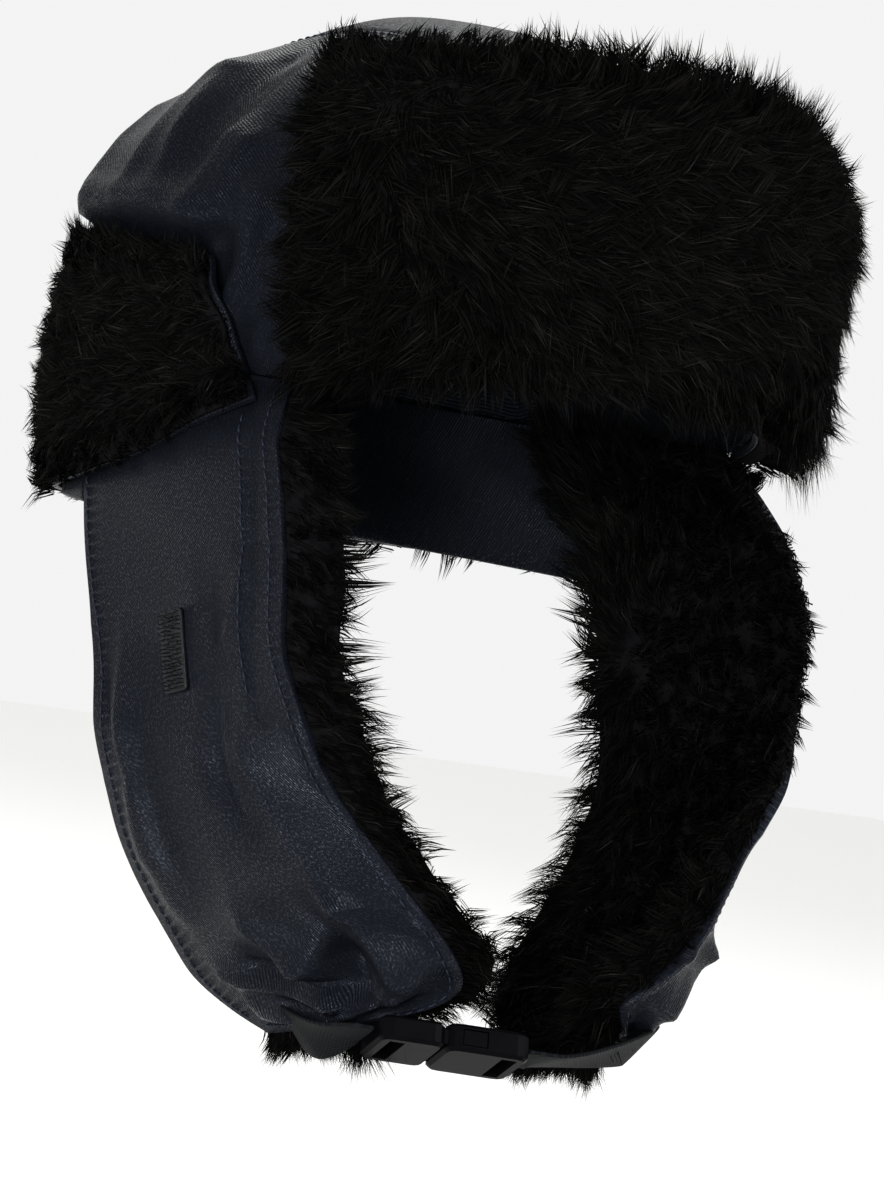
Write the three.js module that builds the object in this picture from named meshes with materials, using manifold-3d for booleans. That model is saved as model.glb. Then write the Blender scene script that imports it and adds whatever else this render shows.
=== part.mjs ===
// Trapper hat: a sewn crown, a turned-up fur flap at the front, a turned-up fur cuff round the back,
// two fur-lined ear flaps and a buckled chin strap. Millimetres, +Z up. The hat faces -Y and the
// wearer's right side is at -X. The origin is the point inside the crown's top that bears on the head.
import * as THREE from "three";
import { mergeVertices } from "three/addons/utils/BufferGeometryUtils.js";
import Module from "manifold-3d";

const wasm = await Module();
wasm.setup();

// Cloth and clearances
const CLOTH_WALL = 2;
const GAP = 0.3;
const SEAM_GAP = 0.5;
const FOLD_EASE = 0.8;

// Crown
const CROWN_HALF_WIDTH = 83;
const CROWN_HALF_LENGTH = 103;
const CROWN_HEIGHT = 106;
const CROWN_RISE_POWER = 2.25;
const CROWN_PLAN_POWER = 2.2;
const CROWN_PUFF = 10;
const STRIP_HALF_WIDTH = 34;
const STRIP_END_SHARE = 0.62;
const PANEL_PILLOW = 2.2;

// Skirt: the cloth below the crown's rim, that the ear flaps and the neck band are cut from
const SKIRT_FLARE = 9;
const SKIRT_HALF_WIDTH = CROWN_HALF_WIDTH + SKIRT_FLARE;
const SKIRT_DROP = 173;

// Front flap
const FRONT_FLAP_TURN = 61.5;
const FRONT_FLAP_LIFT = 13;
const FRONT_FLAP_TOP = 10;
const FRONT_FLAP_END_DIP = 7;
const FRONT_FLAP_SPREAD = 0.09;
const FRONT_FLAP_STAND = 27;
const FRONT_FLAP_PILE = 15;

// Back cuff
const CUFF_STAND = 1.5;
const CUFF_PILE = 6.5;
const CUFF_HEM = 0.012;

// Ear flaps
const EAR_LINING_PILE = 11;
const LINING_REACH = 0.14;
const PATCH_WIDTH = 9.5;
const PATCH_HEIGHT = 22;
const PATCH_THICKNESS = 1.6;

// Fur locks
const LOCK_LENGTH = 13;
const LOCK_WIDTH = 8;

// Chin strap and buckle
const STRAP_WIDTH = 15;
const STRAP_THICKNESS = 1.4;
const BUCKLE_LENGTH = 41;
const BUCKLE_WIDTH = 22;
const BUCKLE_THICKNESS = 7.5;
const BUCKLE_TILT = 66;
const BUCKLE_INWARD = 15.5;
const BUCKLE_AHEAD = 19.7;
const BUCKLE_BELOW = 0.2;
const STRAP_BEND = 6;
const STRAP_EASE = 1.2;

// Skirt sections: depth is a share of the skirt's drop below the rim, width of the skirt's half
// width, front and back of the crown's half length; power is the plan's roundness in front.
const SKIRT_SECTIONS = [
  { depth: 0.0, width: 0.915, front: 1.0, back: 1.0, power: 2.2, backPower: 2.2 },
  { depth: 0.045, width: 0.95, front: 1.13, back: 0.965, power: 2.9, backPower: 2.1 },
  { depth: 0.1, width: 0.99, front: 1.2, back: 0.93, power: 3.6, backPower: 2.0 },
  { depth: 0.19, width: 1.01, front: 1.31, back: 0.88, power: 4.0, backPower: 1.9 },
  { depth: 0.3, width: 1.01, front: 1.36, back: 0.84, power: 4.0, backPower: 1.9 },
  { depth: 0.42, width: 1.0, front: 1.3, back: 0.84, power: 4.0, backPower: 1.9 },
  { depth: 0.57, width: 0.985, front: 1.15, back: 0.82, power: 3.2, backPower: 1.9 },
  { depth: 0.66, width: 0.93, front: 1.135, back: 0.82, power: 3.0, backPower: 1.9 },
  { depth: 0.73, width: 0.87, front: 1.13, back: 0.82, power: 3.0, backPower: 1.9 },
  { depth: 0.8, width: 0.79, front: 1.11, back: 0.82, power: 3.0, backPower: 1.9 },
  { depth: 0.86, width: 0.71, front: 1.05, back: 0.82, power: 3.0, backPower: 1.9 },
  { depth: 0.93, width: 0.61, front: 1.0, back: 0.82, power: 3.0, backPower: 1.9 },
  { depth: 1.0, width: 0.5, front: 0.99, back: 0.82, power: 3.0, backPower: 1.9 },
];

// Ear flap outline, from the rim down: turns are degrees from the front towards the side, depths
// are shares of the skirt's drop.
const EAR_OUTLINE = [
  { frontTurn: 62, frontDepth: 0.0, backTurn: 112, backDepth: 0.0 },
  { frontTurn: 63, frontDepth: 0.05, backTurn: 109, backDepth: 0.08 },
  { frontTurn: 61.5, frontDepth: 0.14, backTurn: 104, backDepth: 0.16 },
  { frontTurn: 60, frontDepth: 0.27, backTurn: 98, backDepth: 0.27 },
  { frontTurn: 57.5, frontDepth: 0.4, backTurn: 91, backDepth: 0.4 },
  { frontTurn: 50, frontDepth: 0.52, backTurn: 87, backDepth: 0.53 },
  { frontTurn: 43, frontDepth: 0.62, backTurn: 85, backDepth: 0.64 },
  { frontTurn: 36, frontDepth: 0.71, backTurn: 84, backDepth: 0.74 },
  { frontTurn: 29, frontDepth: 0.785, backTurn: 82.5, backDepth: 0.82 },
  { frontTurn: 24, frontDepth: 0.845, backTurn: 80, backDepth: 0.89 },
  { frontTurn: 26, frontDepth: 0.875, backTurn: 77, backDepth: 0.94 },
  { frontTurn: 34, frontDepth: 0.905, backTurn: 71, backDepth: 0.975 },
  { frontTurn: 45, frontDepth: 0.945, backTurn: 64, backDepth: 0.995 },
];

// Back cuff outline from its front edge round to the middle of the back: low is the fold, high the
// free edge; depths are shares of the crown's height.
const CUFF_OUTLINE = [
  { lowTurn: 67, lowDepth: 1.07, highTurn: 82, highDepth: 0.72 },
  { lowTurn: 76, lowDepth: 1.16, highTurn: 91, highDepth: 0.7 },
  { lowTurn: 87, lowDepth: 1.27, highTurn: 103, highDepth: 0.69 },
  { lowTurn: 101, lowDepth: 1.34, highTurn: 116, highDepth: 0.7 },
  { lowTurn: 121, lowDepth: 1.38, highTurn: 133, highDepth: 0.72 },
  { lowTurn: 149, lowDepth: 1.4, highTurn: 155, highDepth: 0.75 },
  { lowTurn: 180, lowDepth: 1.4, highTurn: 180, highDepth: 0.77 },
];

// Folds of the crown's cloth, on both sides: each runs between two places given as a turn and a
// depth in shares of the crown's height; width and height are shares of the crown's half width.
const CROWN_FOLDS = [
  { turn: 116, depth: 0.22, endTurn: 107, endDepth: 0.52, width: 0.07, height: 0.035 },
  { turn: 100, depth: 0.2, endTurn: 96, endDepth: 0.5, width: 0.07, height: -0.035 },
  { turn: 88, depth: 0.4, endTurn: 87, endDepth: 0.62, width: 0.06, height: 0.035 },
  { turn: 77, depth: 0.55, endTurn: 78, endDepth: 0.9, width: 0.06, height: 0.03 },
  { turn: 120, depth: 0.62, endTurn: 86, endDepth: 0.66, width: 0.06, height: 0.03 },
  { turn: 150, depth: 0.3, endTurn: 145, endDepth: 0.62, width: 0.08, height: -0.03 },
];

// Pulled folds of an ear flap near the strap: places are shares across (front to back) and down
// the flap; width and height are shares of the skirt's half width.
const EAR_FOLDS = [
  { across: 0.3, down: 0.86, endAcross: 0.2, endDown: 0.72, width: 0.05, height: 0.05 },
  { across: 0.36, down: 0.88, endAcross: 0.5, endDown: 0.76, width: 0.05, height: 0.045 },
  { across: 0.42, down: 0.93, endAcross: 0.72, endDown: 0.86, width: 0.045, height: 0.045 },
  { across: 0.3, down: 0.8, endAcross: 0.34, endDown: 0.74, width: 0.045, height: -0.045 },
  { across: 0.3, down: 0.33, endAcross: 0.42, endDown: 0.5, width: 0.05, height: -0.025 },
  { across: 0.82, down: 0.42, endAcross: 0.86, endDown: 0.66, width: 0.06, height: 0.025 },
];

// Value of one column of a table at a place from 0 to 1 along its rows, on a smooth curve.
function column(rows, name, place) {
  const p = THREE.MathUtils.clamp(place, 0, 1) * (rows.length - 1);
  const i = Math.min(Math.floor(p), rows.length - 2);
  const f = p - i;
  const at = (k) => rows[THREE.MathUtils.clamp(k, 0, rows.length - 1)][name];
  const [a, b, c, d] = [at(i - 1), at(i), at(i + 1), at(i + 2)];
  return b + 0.5 * f * (c - a + f * (2 * a - 5 * b + 4 * c - d + f * (3 * (b - c) + d - a)));
}

// Place along a table's rows where its rising column reaches a value.
function placeOf(rows, name, value) {
  const last = rows.length - 1;
  let i = 0;
  while (i < last - 1 && rows[i + 1][name] < value) i += 1;
  const f = (value - rows[i][name]) / (rows[i + 1][name] - rows[i][name]);
  return THREE.MathUtils.clamp((i + f) / last, 0, 1);
}

const degrees = THREE.MathUtils.degToRad;
const smooth = THREE.MathUtils.smoothstep;
const TOP_Z = CLOTH_WALL;

// Point of a rounded plan at a turn from the front; a positive turn goes to the wearer's right.
function planPoint(turn, halfWidth, front, back, power, z) {
  const s = Math.sin(degrees(turn));
  const c = Math.cos(degrees(turn));
  const r = (Math.abs(s) ** power + Math.abs(c) ** power) ** (-1 / power);
  return new THREE.Vector3(-halfWidth * s * r, -(c > 0 ? front : back) * c * r, z);
}

// Share of the full plan that the dome has at a depth below its top.
function domeShare(depth) {
  const up = Math.max(0, 1 - depth / CROWN_HEIGHT);
  return Math.max(0, 1 - up ** CROWN_RISE_POWER) ** (1 / CROWN_RISE_POWER);
}

// How far the crown's rim is lifted over the forehead, where the front flap folds up from it.
function rimLift(turn) {
  return FRONT_FLAP_LIFT * Math.max(0, 1 - (turn / FRONT_FLAP_TURN) ** 2);
}

// Distance of a point from the straight line between two others.
function distanceToSegment(p, a, b) {
  return new THREE.Line3(a, b).closestPointToPoint(p, true, new THREE.Vector3()).distanceTo(p);
}

// How far the loose crown stands out of the plain dome: a soft roll above the cuff.
function crownPuff(turn, depth) {
  const share = depth / CROWN_HEIGHT;
  const round = smooth(Math.abs(turn), FRONT_FLAP_TURN, 1.5 * FRONT_FLAP_TURN);
  return CROWN_PUFF * round * smooth(share, 0.05, 0.5) * (1 - smooth(share, 0.58, 0.75));
}

function plainDome(turn, depth) {
  const share = domeShare(depth);
  const puff = crownPuff(turn, depth);
  const halfWidth = CROWN_HALF_WIDTH * share + puff;
  const halfLength = CROWN_HALF_LENGTH * share + puff;
  return planPoint(turn, halfWidth, halfLength, halfLength, CROWN_PLAN_POWER, TOP_Z - depth);
}

// The folds' ends as points on the plain dome, on the right and mirrored on the left.
const foldLines = CROWN_FOLDS.flatMap((fold) =>
  [1, -1].map((side) => ({
    start: plainDome(side * fold.turn, fold.depth * CROWN_HEIGHT),
    end: plainDome(side * fold.endTurn, fold.endDepth * CROWN_HEIGHT),
    width: fold.width * CROWN_HALF_WIDTH,
    height: fold.height * CROWN_HALF_WIDTH,
  })),
);

function foldHeight(p) {
  return foldLines.reduce((sum, fold) => {
    const away = distanceToSegment(p, fold.start, fold.end) / fold.width;
    return sum + fold.height * Math.exp(-away * away);
  }, 0);
}

// Outer surface of the whole cloth body: the folded dome above the rim, the skirt below it.
function bodyPoint(turn, depth) {
  if (depth <= CROWN_HEIGHT) {
    const p = plainDome(turn, depth);
    const outward = new THREE.Vector3(p.x, p.y, 0).normalize();
    return p.addScaledVector(outward, foldHeight(p));
  }
  const place = placeOf(SKIRT_SECTIONS, "depth", (depth - CROWN_HEIGHT) / SKIRT_DROP);
  const value = (name) => column(SKIRT_SECTIONS, name, place);
  const front = Math.abs(turn) < 90;
  const power = value(front ? "power" : "backPower");
  const halfWidth = value("width") * SKIRT_HALF_WIDTH;
  const length = value(front ? "front" : "back") * CROWN_HALF_LENGTH;
  return planPoint(turn, halfWidth, length, length, power, TOP_Z - depth);
}

// Point at a distance outside the body, along the normal of its surface.
function outsideBody(turn, depth, distance) {
  const step = 1.5;
  const across = bodyPoint(turn - step, depth).sub(bodyPoint(turn + step, depth));
  const down = bodyPoint(turn, depth + step).sub(bodyPoint(turn, depth - step));
  const normal = across.cross(down).normalize();
  const p = bodyPoint(turn, depth);
  if (normal.x * p.x + normal.y * p.y < 0) normal.negate();
  if (Math.abs(depth - CROWN_HEIGHT) < CLOTH_WALL) normal.setZ(0).normalize();
  return p.addScaledVector(normal, distance);
}

// A grid of points, columns across and rows down, from a function of two shares.
function grid(columns, rows, place) {
  return Array.from({ length: rows + 1 }, (_, j) =>
    Array.from({ length: columns + 1 }, (_, i) => place(i / columns, j / rows)),
  );
}

// Closed wall between two grids of the same size: two faces and the strip round their rim.
function wall(outer, inner) {
  const rows = outer.length;
  const columns = outer[0].length;
  const points = [...outer.flat(), ...inner.flat()];
  const count = rows * columns;
  const index = [];
  const quad = (a, b, c, d) => index.push(a, b, c, a, c, d);
  for (let j = 0; j + 1 < rows; j += 1) {
    for (let i = 0; i + 1 < columns; i += 1) {
      const a = j * columns + i;
      quad(a, a + columns, a + columns + 1, a + 1);
      quad(count + a, count + a + 1, count + a + columns + 1, count + a + columns);
    }
  }
  const rim = [];
  for (let i = 0; i + 1 < columns; i += 1) rim.push(i);
  for (let j = 0; j + 1 < rows; j += 1) rim.push(j * columns + columns - 1);
  for (let i = columns - 1; i > 0; i -= 1) rim.push((rows - 1) * columns + i);
  for (let j = rows - 1; j > 0; j -= 1) rim.push(j * columns);
  rim.forEach((a, k) => {
    const b = rim[(k + 1) % rim.length];
    quad(a, b, count + b, count + a);
  });
  return solid(points, index);
}

// Manifold solid from points and triangles, turned the right way out.
function solid(points, index) {
  const build = (triangles) =>
    new wasm.Manifold(
      new wasm.Mesh({
        numProp: 3,
        vertProperties: new Float32Array(points.flatMap((p) => [p.x, p.y, p.z])),
        triVerts: new Uint32Array(triangles),
      }),
    );
  const made = build(index);
  return made.volume() > 0 ? made : build([...index].reverse());
}

function solidOf(geometry) {
  const bare = geometry.clone();
  bare.deleteAttribute("normal");
  bare.deleteAttribute("uv");
  const merged = mergeVertices(bare, 1e-4);
  const triVerts = new Uint32Array(merged.index.array);
  const vertProperties = merged.attributes.position.array;
  return new wasm.Manifold(new wasm.Mesh({ numProp: 3, vertProperties, triVerts }));
}

function geometryOf(made) {
  const mesh = made.getMesh();
  const geometry = new THREE.BufferGeometry();
  const position = new Float32Array(mesh.vertProperties);
  geometry.setAttribute("position", new THREE.BufferAttribute(position, 3));
  geometry.setIndex(Array.from(mesh.triVerts));
  return geometry;
}

// Repeatable random numbers from 0 to 1.
function randomFrom(seed) {
  let state = seed;
  return () => {
    state = (state * 1664525 + 1013904223) % 4294967296;
    return state / 4294967296;
  };
}

// One lock of fur: a flat spike with a bend, its root sunk in the fur's body.
function lock(root, along, out, length, width) {
  const side = new THREE.Vector3().crossVectors(along, out).normalize();
  const thick = new THREE.Vector3().crossVectors(side, along).normalize();
  const ring = (centre, scale) => [
    centre.clone().addScaledVector(side, 0.5 * width * scale),
    centre.clone().addScaledVector(thick, 0.4 * width * scale),
    centre.clone().addScaledVector(side, -0.5 * width * scale),
  ];
  const middle = root.clone().addScaledVector(along, 0.55 * length);
  const tip = root.clone().addScaledVector(along, length).addScaledVector(side, 0.3 * width);
  const points = [...ring(root, 1), ...ring(middle, 0.72), tip];
  const index = [0, 1, 2];
  for (let k = 0; k < 3; k += 1) {
    const next = (k + 1) % 3;
    index.push(k, k + 3, next + 3, k, next + 3, next, k + 3, 6, next + 3);
  }
  return solid(points, index);
}

// Locks over a fur surface: rows of places across and down, pointing away from the middle.
// at gives the surface, out the way outwards, and rows name where the locks sit.
function locksOver(surface, rows, sink, seed) {
  const random = randomFrom(seed);
  const locks = [];
  for (const { across, down, count, vertical, reach, lean, length } of rows) {
    for (let k = 0; k < count; k += 1) {
      const share = (k + 0.5 + 0.5 * (random() - 0.5)) / count;
      const u = vertical ? across : across + (1 - 2 * across) * share;
      const v = vertical ? down + (1 - 2 * down) * share : down;
      const p = surface(u, v, 0);
      const out = surface(u, v, 1).sub(p).normalize();
      const step = 0.03;
      const towards = surface(u + reach[0] * step, v + reach[1] * step, 0);
      const back = surface(u - reach[0] * step, v - reach[1] * step, 0);
      const flow = towards.sub(back).normalize();
      const turnBy = 0.7 * (random() - 0.5);
      flow.applyAxisAngle(out, turnBy);
      const along = flow.multiplyScalar(1 - lean).addScaledVector(out, lean).normalize();
      const long = LOCK_LENGTH * length * (0.75 + 0.5 * random());
      const root = p.clone().addScaledVector(out, -sink);
      locks.push(lock(root, along, out, long, LOCK_WIDTH * (0.8 + 0.4 * random())));
    }
  }
  return locks;
}

const group = new THREE.Group();

function finish(colour, roughness, metalness = 0) {
  return new THREE.MeshStandardMaterial({ color: colour, roughness, metalness });
}

const CLOTH = () => finish(0x171b26, 0.5);
const FUR = () => finish(0x0a0a0b, 0.95);
const WEBBING = () => finish(0x0d0e12, 0.8);
const PLASTIC = () => finish(0x08090a, 0.3);

function add(name, made, material, parent = group) {
  const mesh = new THREE.Mesh(geometryOf(made), material);
  mesh.name = name;
  parent.add(mesh);
}

// Depth of the cloth surface behind a direction: the dome is found along a ray from its base.
function domeDirection(direction) {
  const d = direction.clone().normalize();
  const plan =
    (Math.abs(d.x) / CROWN_HALF_WIDTH) ** CROWN_PLAN_POWER +
    (Math.abs(d.y) / CROWN_HALF_LENGTH) ** CROWN_PLAN_POWER;
  const rise = (Math.max(0, d.z) / CROWN_HEIGHT) ** CROWN_RISE_POWER;
  const r = (plan ** (CROWN_RISE_POWER / CROWN_PLAN_POWER) + rise) ** (-1 / CROWN_RISE_POWER);
  const p = d.multiplyScalar(r);
  const depth = CROWN_HEIGHT - p.z;
  const outward = new THREE.Vector3(p.x, p.y, 0);
  if (outward.length() > 1e-6) outward.normalize();
  p.z += TOP_Z - CROWN_HEIGHT;
  const turn = THREE.MathUtils.radToDeg(
    Math.atan2(-p.x / CROWN_HALF_WIDTH, -p.y / CROWN_HALF_LENGTH),
  );
  p.addScaledVector(outward, crownPuff(turn, depth));
  return p.addScaledVector(outward, foldHeight(p));
}

// Wall of a crown panel: its outer face pillows between the seams, its inner face lies inside.
function crownPanel(columns, rows, direction, pillow) {
  const centre = new THREE.Vector3(0, 0, TOP_Z - CROWN_HEIGHT);
  const surface = (u, v) => domeDirection(direction(u, v));
  const place = (u, v, inset) => {
    const p = surface(u, v);
    const step = 0.02;
    const du = surface(u + step, v).sub(surface(u - step, v));
    const dv = surface(u, v + step).sub(surface(u, v - step));
    const normal = du.cross(dv).normalize();
    if (normal.dot(p.clone().sub(centre)) < 0) normal.negate();
    if (p.z - centre.z < CLOTH_WALL) normal.setZ(0).normalize();
    return p.addScaledVector(normal, PANEL_PILLOW * pillow(u) - PANEL_PILLOW - inset);
  };
  const outer = grid(columns, rows, (u, v) => place(u, v, 0));
  const inner = grid(columns, rows, (u, v) => place(u, v, CLOTH_WALL));
  return wall(outer, inner);
}

// Direction of the seam between the centre strip and a side panel, from the front to the back.
function seamDirection(v, halfWidth) {
  const start = Math.asin(rimLift(0) / CROWN_HEIGHT);
  const angle = THREE.MathUtils.lerp(start, Math.PI, v);
  const narrow = STRIP_END_SHARE + (1 - STRIP_END_SHARE) * Math.sin(angle);
  const reach = THREE.MathUtils.lerp(CROWN_HALF_LENGTH, CROWN_HEIGHT, Math.sin(angle));
  return new THREE.Vector3(
    -halfWidth * narrow,
    -Math.cos(angle) * reach,
    Math.sin(angle) * reach,
  );
}

const pillowOf = (share) => Math.sin(Math.PI * THREE.MathUtils.clamp(share, 0, 1)) ** 0.5;

function addCrown() {
  const strip = (u, v) => {
    const seam = seamDirection(v, STRIP_HALF_WIDTH - SEAM_GAP / 2);
    return seam.setX(seam.x * (1 - 2 * u));
  };
  add("crown_centre_strip", crownPanel(6, 20, strip, pillowOf), CLOTH());
  for (const [name, side] of [["right", 1], ["left", -1]]) {
    const panel = (u, v) => {
      const seam = seamDirection(v, STRIP_HALF_WIDTH + SEAM_GAP / 2);
      const start = Math.atan2(-seamDirection(0, STRIP_HALF_WIDTH + SEAM_GAP / 2).x, CROWN_HALF_LENGTH);
      const turn = start + (Math.PI - 2 * start) * v;
      const rim = new THREE.Vector3(
        -CROWN_HALF_LENGTH * Math.sin(turn),
        -CROWN_HALF_LENGTH * Math.cos(turn),
        rimLift(THREE.MathUtils.radToDeg(turn)),
      );
      const direction = seam.lerp(rim, u);
      return direction.setX(direction.x * side);
    };
    const pillow = (u) => pillowOf(0.5 * u);
    add(`crown_side_panel_${name}`, crownPanel(8, 20, panel, pillow), CLOTH());
  }
}

// Front flap: turned up over the forehead. Shares run from its right end to its left, and upwards.
function frontFlapPoint(u, v, distance) {
  const foot = FRONT_FLAP_TURN * (1 - 2 * u);
  const turn = foot * (1 + FRONT_FLAP_SPREAD * v);
  const ends = (1 - 2 * u) ** 2;
  const low = CROWN_HEIGHT - rimLift(foot);
  const high = FRONT_FLAP_TOP + FRONT_FLAP_END_DIP * ends;
  const depth = THREE.MathUtils.lerp(low, high, v);
  const dome = plainDome(turn, depth);
  const upright = planPoint(
    turn,
    CROWN_HALF_WIDTH * domeShare(low),
    CROWN_HALF_LENGTH * domeShare(low),
    0,
    CROWN_PLAN_POWER,
    TOP_Z - depth,
  );
  const room = Math.hypot(upright.x - dome.x, upright.y - dome.y);
  const outward = new THREE.Vector3(dome.x, dome.y, 0).normalize();
  const stand = Math.min(room, FRONT_FLAP_STAND * v) + 0.2 * FRONT_FLAP_STAND * Math.sin(Math.PI * v);
  const tilt = 0.5 * Math.max(0, v - 0.5);
  const way = outward.clone().setZ(tilt).normalize();
  return dome.addScaledVector(outward, stand + GAP).addScaledVector(way, distance);
}

// Rounded thickness of a fur body: full in the middle and thinner at its edges.
function pileShare(u, v) {
  const edge = Math.max(Math.abs(2 * u - 1), Math.abs(2 * v - 1));
  return 0.5 + 0.5 * Math.sqrt(Math.max(0, 1 - edge ** 6));
}

function furBody(columns, rows, surface, start, pile) {
  const outer = grid(columns, rows, (u, v) => surface(u, v, start + pile * pileShare(u, v)));
  const inner = grid(columns, rows, (u, v) => surface(u, v, start));
  return wall(outer, inner);
}

function addFrontFlap() {
  const outer = grid(18, 6, (u, v) => frontFlapPoint(u, v, CLOTH_WALL));
  const inner = grid(18, 6, (u, v) => frontFlapPoint(u, v, 0));
  add("front_flap_shell", wall(outer, inner), CLOTH());
  const start = CLOTH_WALL + GAP;
  const body = furBody(18, 6, frontFlapPoint, start, FRONT_FLAP_PILE);
  const surface = (u, v, extra) =>
    frontFlapPoint(u, v, start + FRONT_FLAP_PILE * pileShare(u, v) + extra);
  const rows = [
    { across: 0.03, down: 0.94, count: 17, reach: [0, 1], lean: 0.3, length: 1.1 },
    { across: 0.03, down: 0.66, count: 9, reach: [0.2, 0.6], lean: 0.35, length: 0.9 },
    { across: 0.04, down: 0.34, count: 9, reach: [-0.2, -1], lean: 0.35, length: 0.9 },
    { across: 0.03, down: 0.07, count: 16, reach: [0, -1], lean: 0.3, length: 0.9 },
    { across: 0.04, down: 0.12, count: 5, vertical: true, reach: [-1, 0], lean: 0.4, length: 0.5 },
    { across: 0.96, down: 0.12, count: 5, vertical: true, reach: [1, 0], lean: 0.4, length: 0.8 },
  ];
  const made = wasm.Manifold.union([body, ...locksOver(surface, rows, 0.5 * FRONT_FLAP_PILE, 11)]);
  add("front_flap_fur", made, FUR());
}

// Back cuff: shares run from its right front edge round the back to its left one, and upwards.
function cuffPoint(u, v, distance) {
  const side = u < 0.5 ? 1 : -1;
  const place = 1 - Math.abs(2 * u - 1);
  const value = (name) => column(CUFF_OUTLINE, name, place);
  const turn = side * THREE.MathUtils.lerp(value("lowTurn"), value("highTurn"), v);
  const depth = THREE.MathUtils.lerp(value("lowDepth"), value("highDepth"), v) * CROWN_HEIGHT;
  const stand = CUFF_STAND * smooth(v, 0, 0.5);
  return outsideBody(turn, depth, GAP + FOLD_EASE + stand + distance);
}

function addCuff() {
  const columns = 28;
  const furShare = (u) => CUFF_HEM + (1 - 2 * CUFF_HEM) * u;
  const share = (u) => THREE.MathUtils.clamp(furShare((u * (columns + 2) - 1) / columns), 0, 1);
  const outer = grid(columns + 2, 6, (u, v) => cuffPoint(share(u), v, CLOTH_WALL));
  const inner = grid(columns + 2, 6, (u, v) => cuffPoint(share(u), v, 0));
  add("back_cuff_shell", wall(outer, inner), CLOTH());
  const start = CLOTH_WALL + GAP;
  const furPlace = (u, v, distance) => cuffPoint(furShare(u), v, distance);
  const body = furBody(columns, 6, furPlace, start, CUFF_PILE);
  const surface = (u, v, extra) => furPlace(u, v, start + CUFF_PILE * pileShare(u, v) + extra);
  const rows = [
    { across: 0.03, down: 0.93, count: 15, reach: [0, 1], lean: 0.3, length: 0.7 },
    { across: 0.04, down: 0.5, count: 12, reach: [0.1, -0.7], lean: 0.3, length: 0.8 },
    { across: 0.03, down: 0.08, count: 17, reach: [0, -1], lean: 0.3, length: 0.8 },
  ];
  const made = wasm.Manifold.union([body, ...locksOver(surface, rows, 0.4 * CUFF_PILE, 23)]);
  add("back_cuff_fur", made, FUR());
}

// Height of an ear flap's pulled folds at shares across and down it.
function earFold(u, v) {
  return EAR_FOLDS.reduce((sum, fold) => {
    const a = new THREE.Vector3(fold.across, fold.down, 0);
    const b = new THREE.Vector3(fold.endAcross, fold.endDown, 0);
    const away = distanceToSegment(new THREE.Vector3(u, v, 0), a, b) / fold.width;
    return sum + fold.height * SKIRT_HALF_WIDTH * Math.exp(-away * away);
  }, 0);
}

// Ear flap: shares run from its front edge to its back edge, and down from the rim.
function earPoint(side, u, v, distance) {
  const value = (name) => column(EAR_OUTLINE, name, v);
  const turn = value("frontTurn") + (value("backTurn") - value("frontTurn")) * u;
  const low = value("frontDepth") + (value("backDepth") - value("frontDepth")) * u;
  const depth = CROWN_HEIGHT + GAP + low * SKIRT_DROP;
  return outsideBody(side * turn, depth, distance + earFold(u, v));
}

function addEarFlap(name, side) {
  const outer = grid(10, 15, (u, v) => earPoint(side, u, v, 0));
  const inner = grid(10, 15, (u, v) => earPoint(side, u, v, -CLOTH_WALL));
  add(`ear_flap_shell_${name}`, wall(outer, inner), CLOTH());
  const start = -CLOTH_WALL - GAP;
  const reach = (u) => u - LINING_REACH * (1 - u) ** 3;
  const inside = (u, v, extra) => {
    const pile = EAR_LINING_PILE * pileShare(0.5 + 0.5 * u, v);
    return earPoint(side, reach(u), v, start - pile - extra);
  };
  const outerFace = grid(10, 15, (u, v) => earPoint(side, u, v, start));
  const innerFace = grid(10, 15, (u, v) => inside(u, v, 0));
  const body = wall(outerFace, innerFace);
  const rows = [
    { across: 0.06, down: 0.08, count: 16, vertical: true, reach: [-1, 0.3], lean: 0.2, length: 1 },
    { across: 0.92, down: 0.4, count: 4, vertical: true, reach: [1, 0], lean: 0.15, length: 0.9 },
    { across: 0.2, down: 0.92, count: 4, reach: [0, 1], lean: 0.15, length: 1.1 },
  ];
  const made = wasm.Manifold.union([body, ...locksOver(inside, rows, 0.32 * EAR_LINING_PILE, 31 + side)]);
  add(`ear_flap_lining_${name}`, made, FUR());
}

// Neck band: the cloth between the ear flaps' back edges, down to the cuff's fold.
function addNeckBand() {
  const lowest = column(CUFF_OUTLINE, "lowDepth", 1) * CROWN_HEIGHT;
  const place = (u, v, distance) => {
    const depth = THREE.MathUtils.lerp(CROWN_HEIGHT + GAP, lowest, v);
    const share = (depth - CROWN_HEIGHT) / SKIRT_DROP;
    const edge = column(EAR_OUTLINE, "backTurn", placeOf(EAR_OUTLINE, "backDepth", share));
    const clear = THREE.MathUtils.radToDeg(2 * GAP / SKIRT_HALF_WIDTH);
    const turn = THREE.MathUtils.lerp(edge + clear, 360 - edge - clear, u);
    return outsideBody(turn > 180 ? turn - 360 : turn, depth, distance);
  };
  const outer = grid(24, 4, (u, v) => place(u, v, 0));
  const inner = grid(24, 4, (u, v) => place(u, v, -CLOTH_WALL));
  add("neck_band", wall(outer, inner), CLOTH());
}

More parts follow.
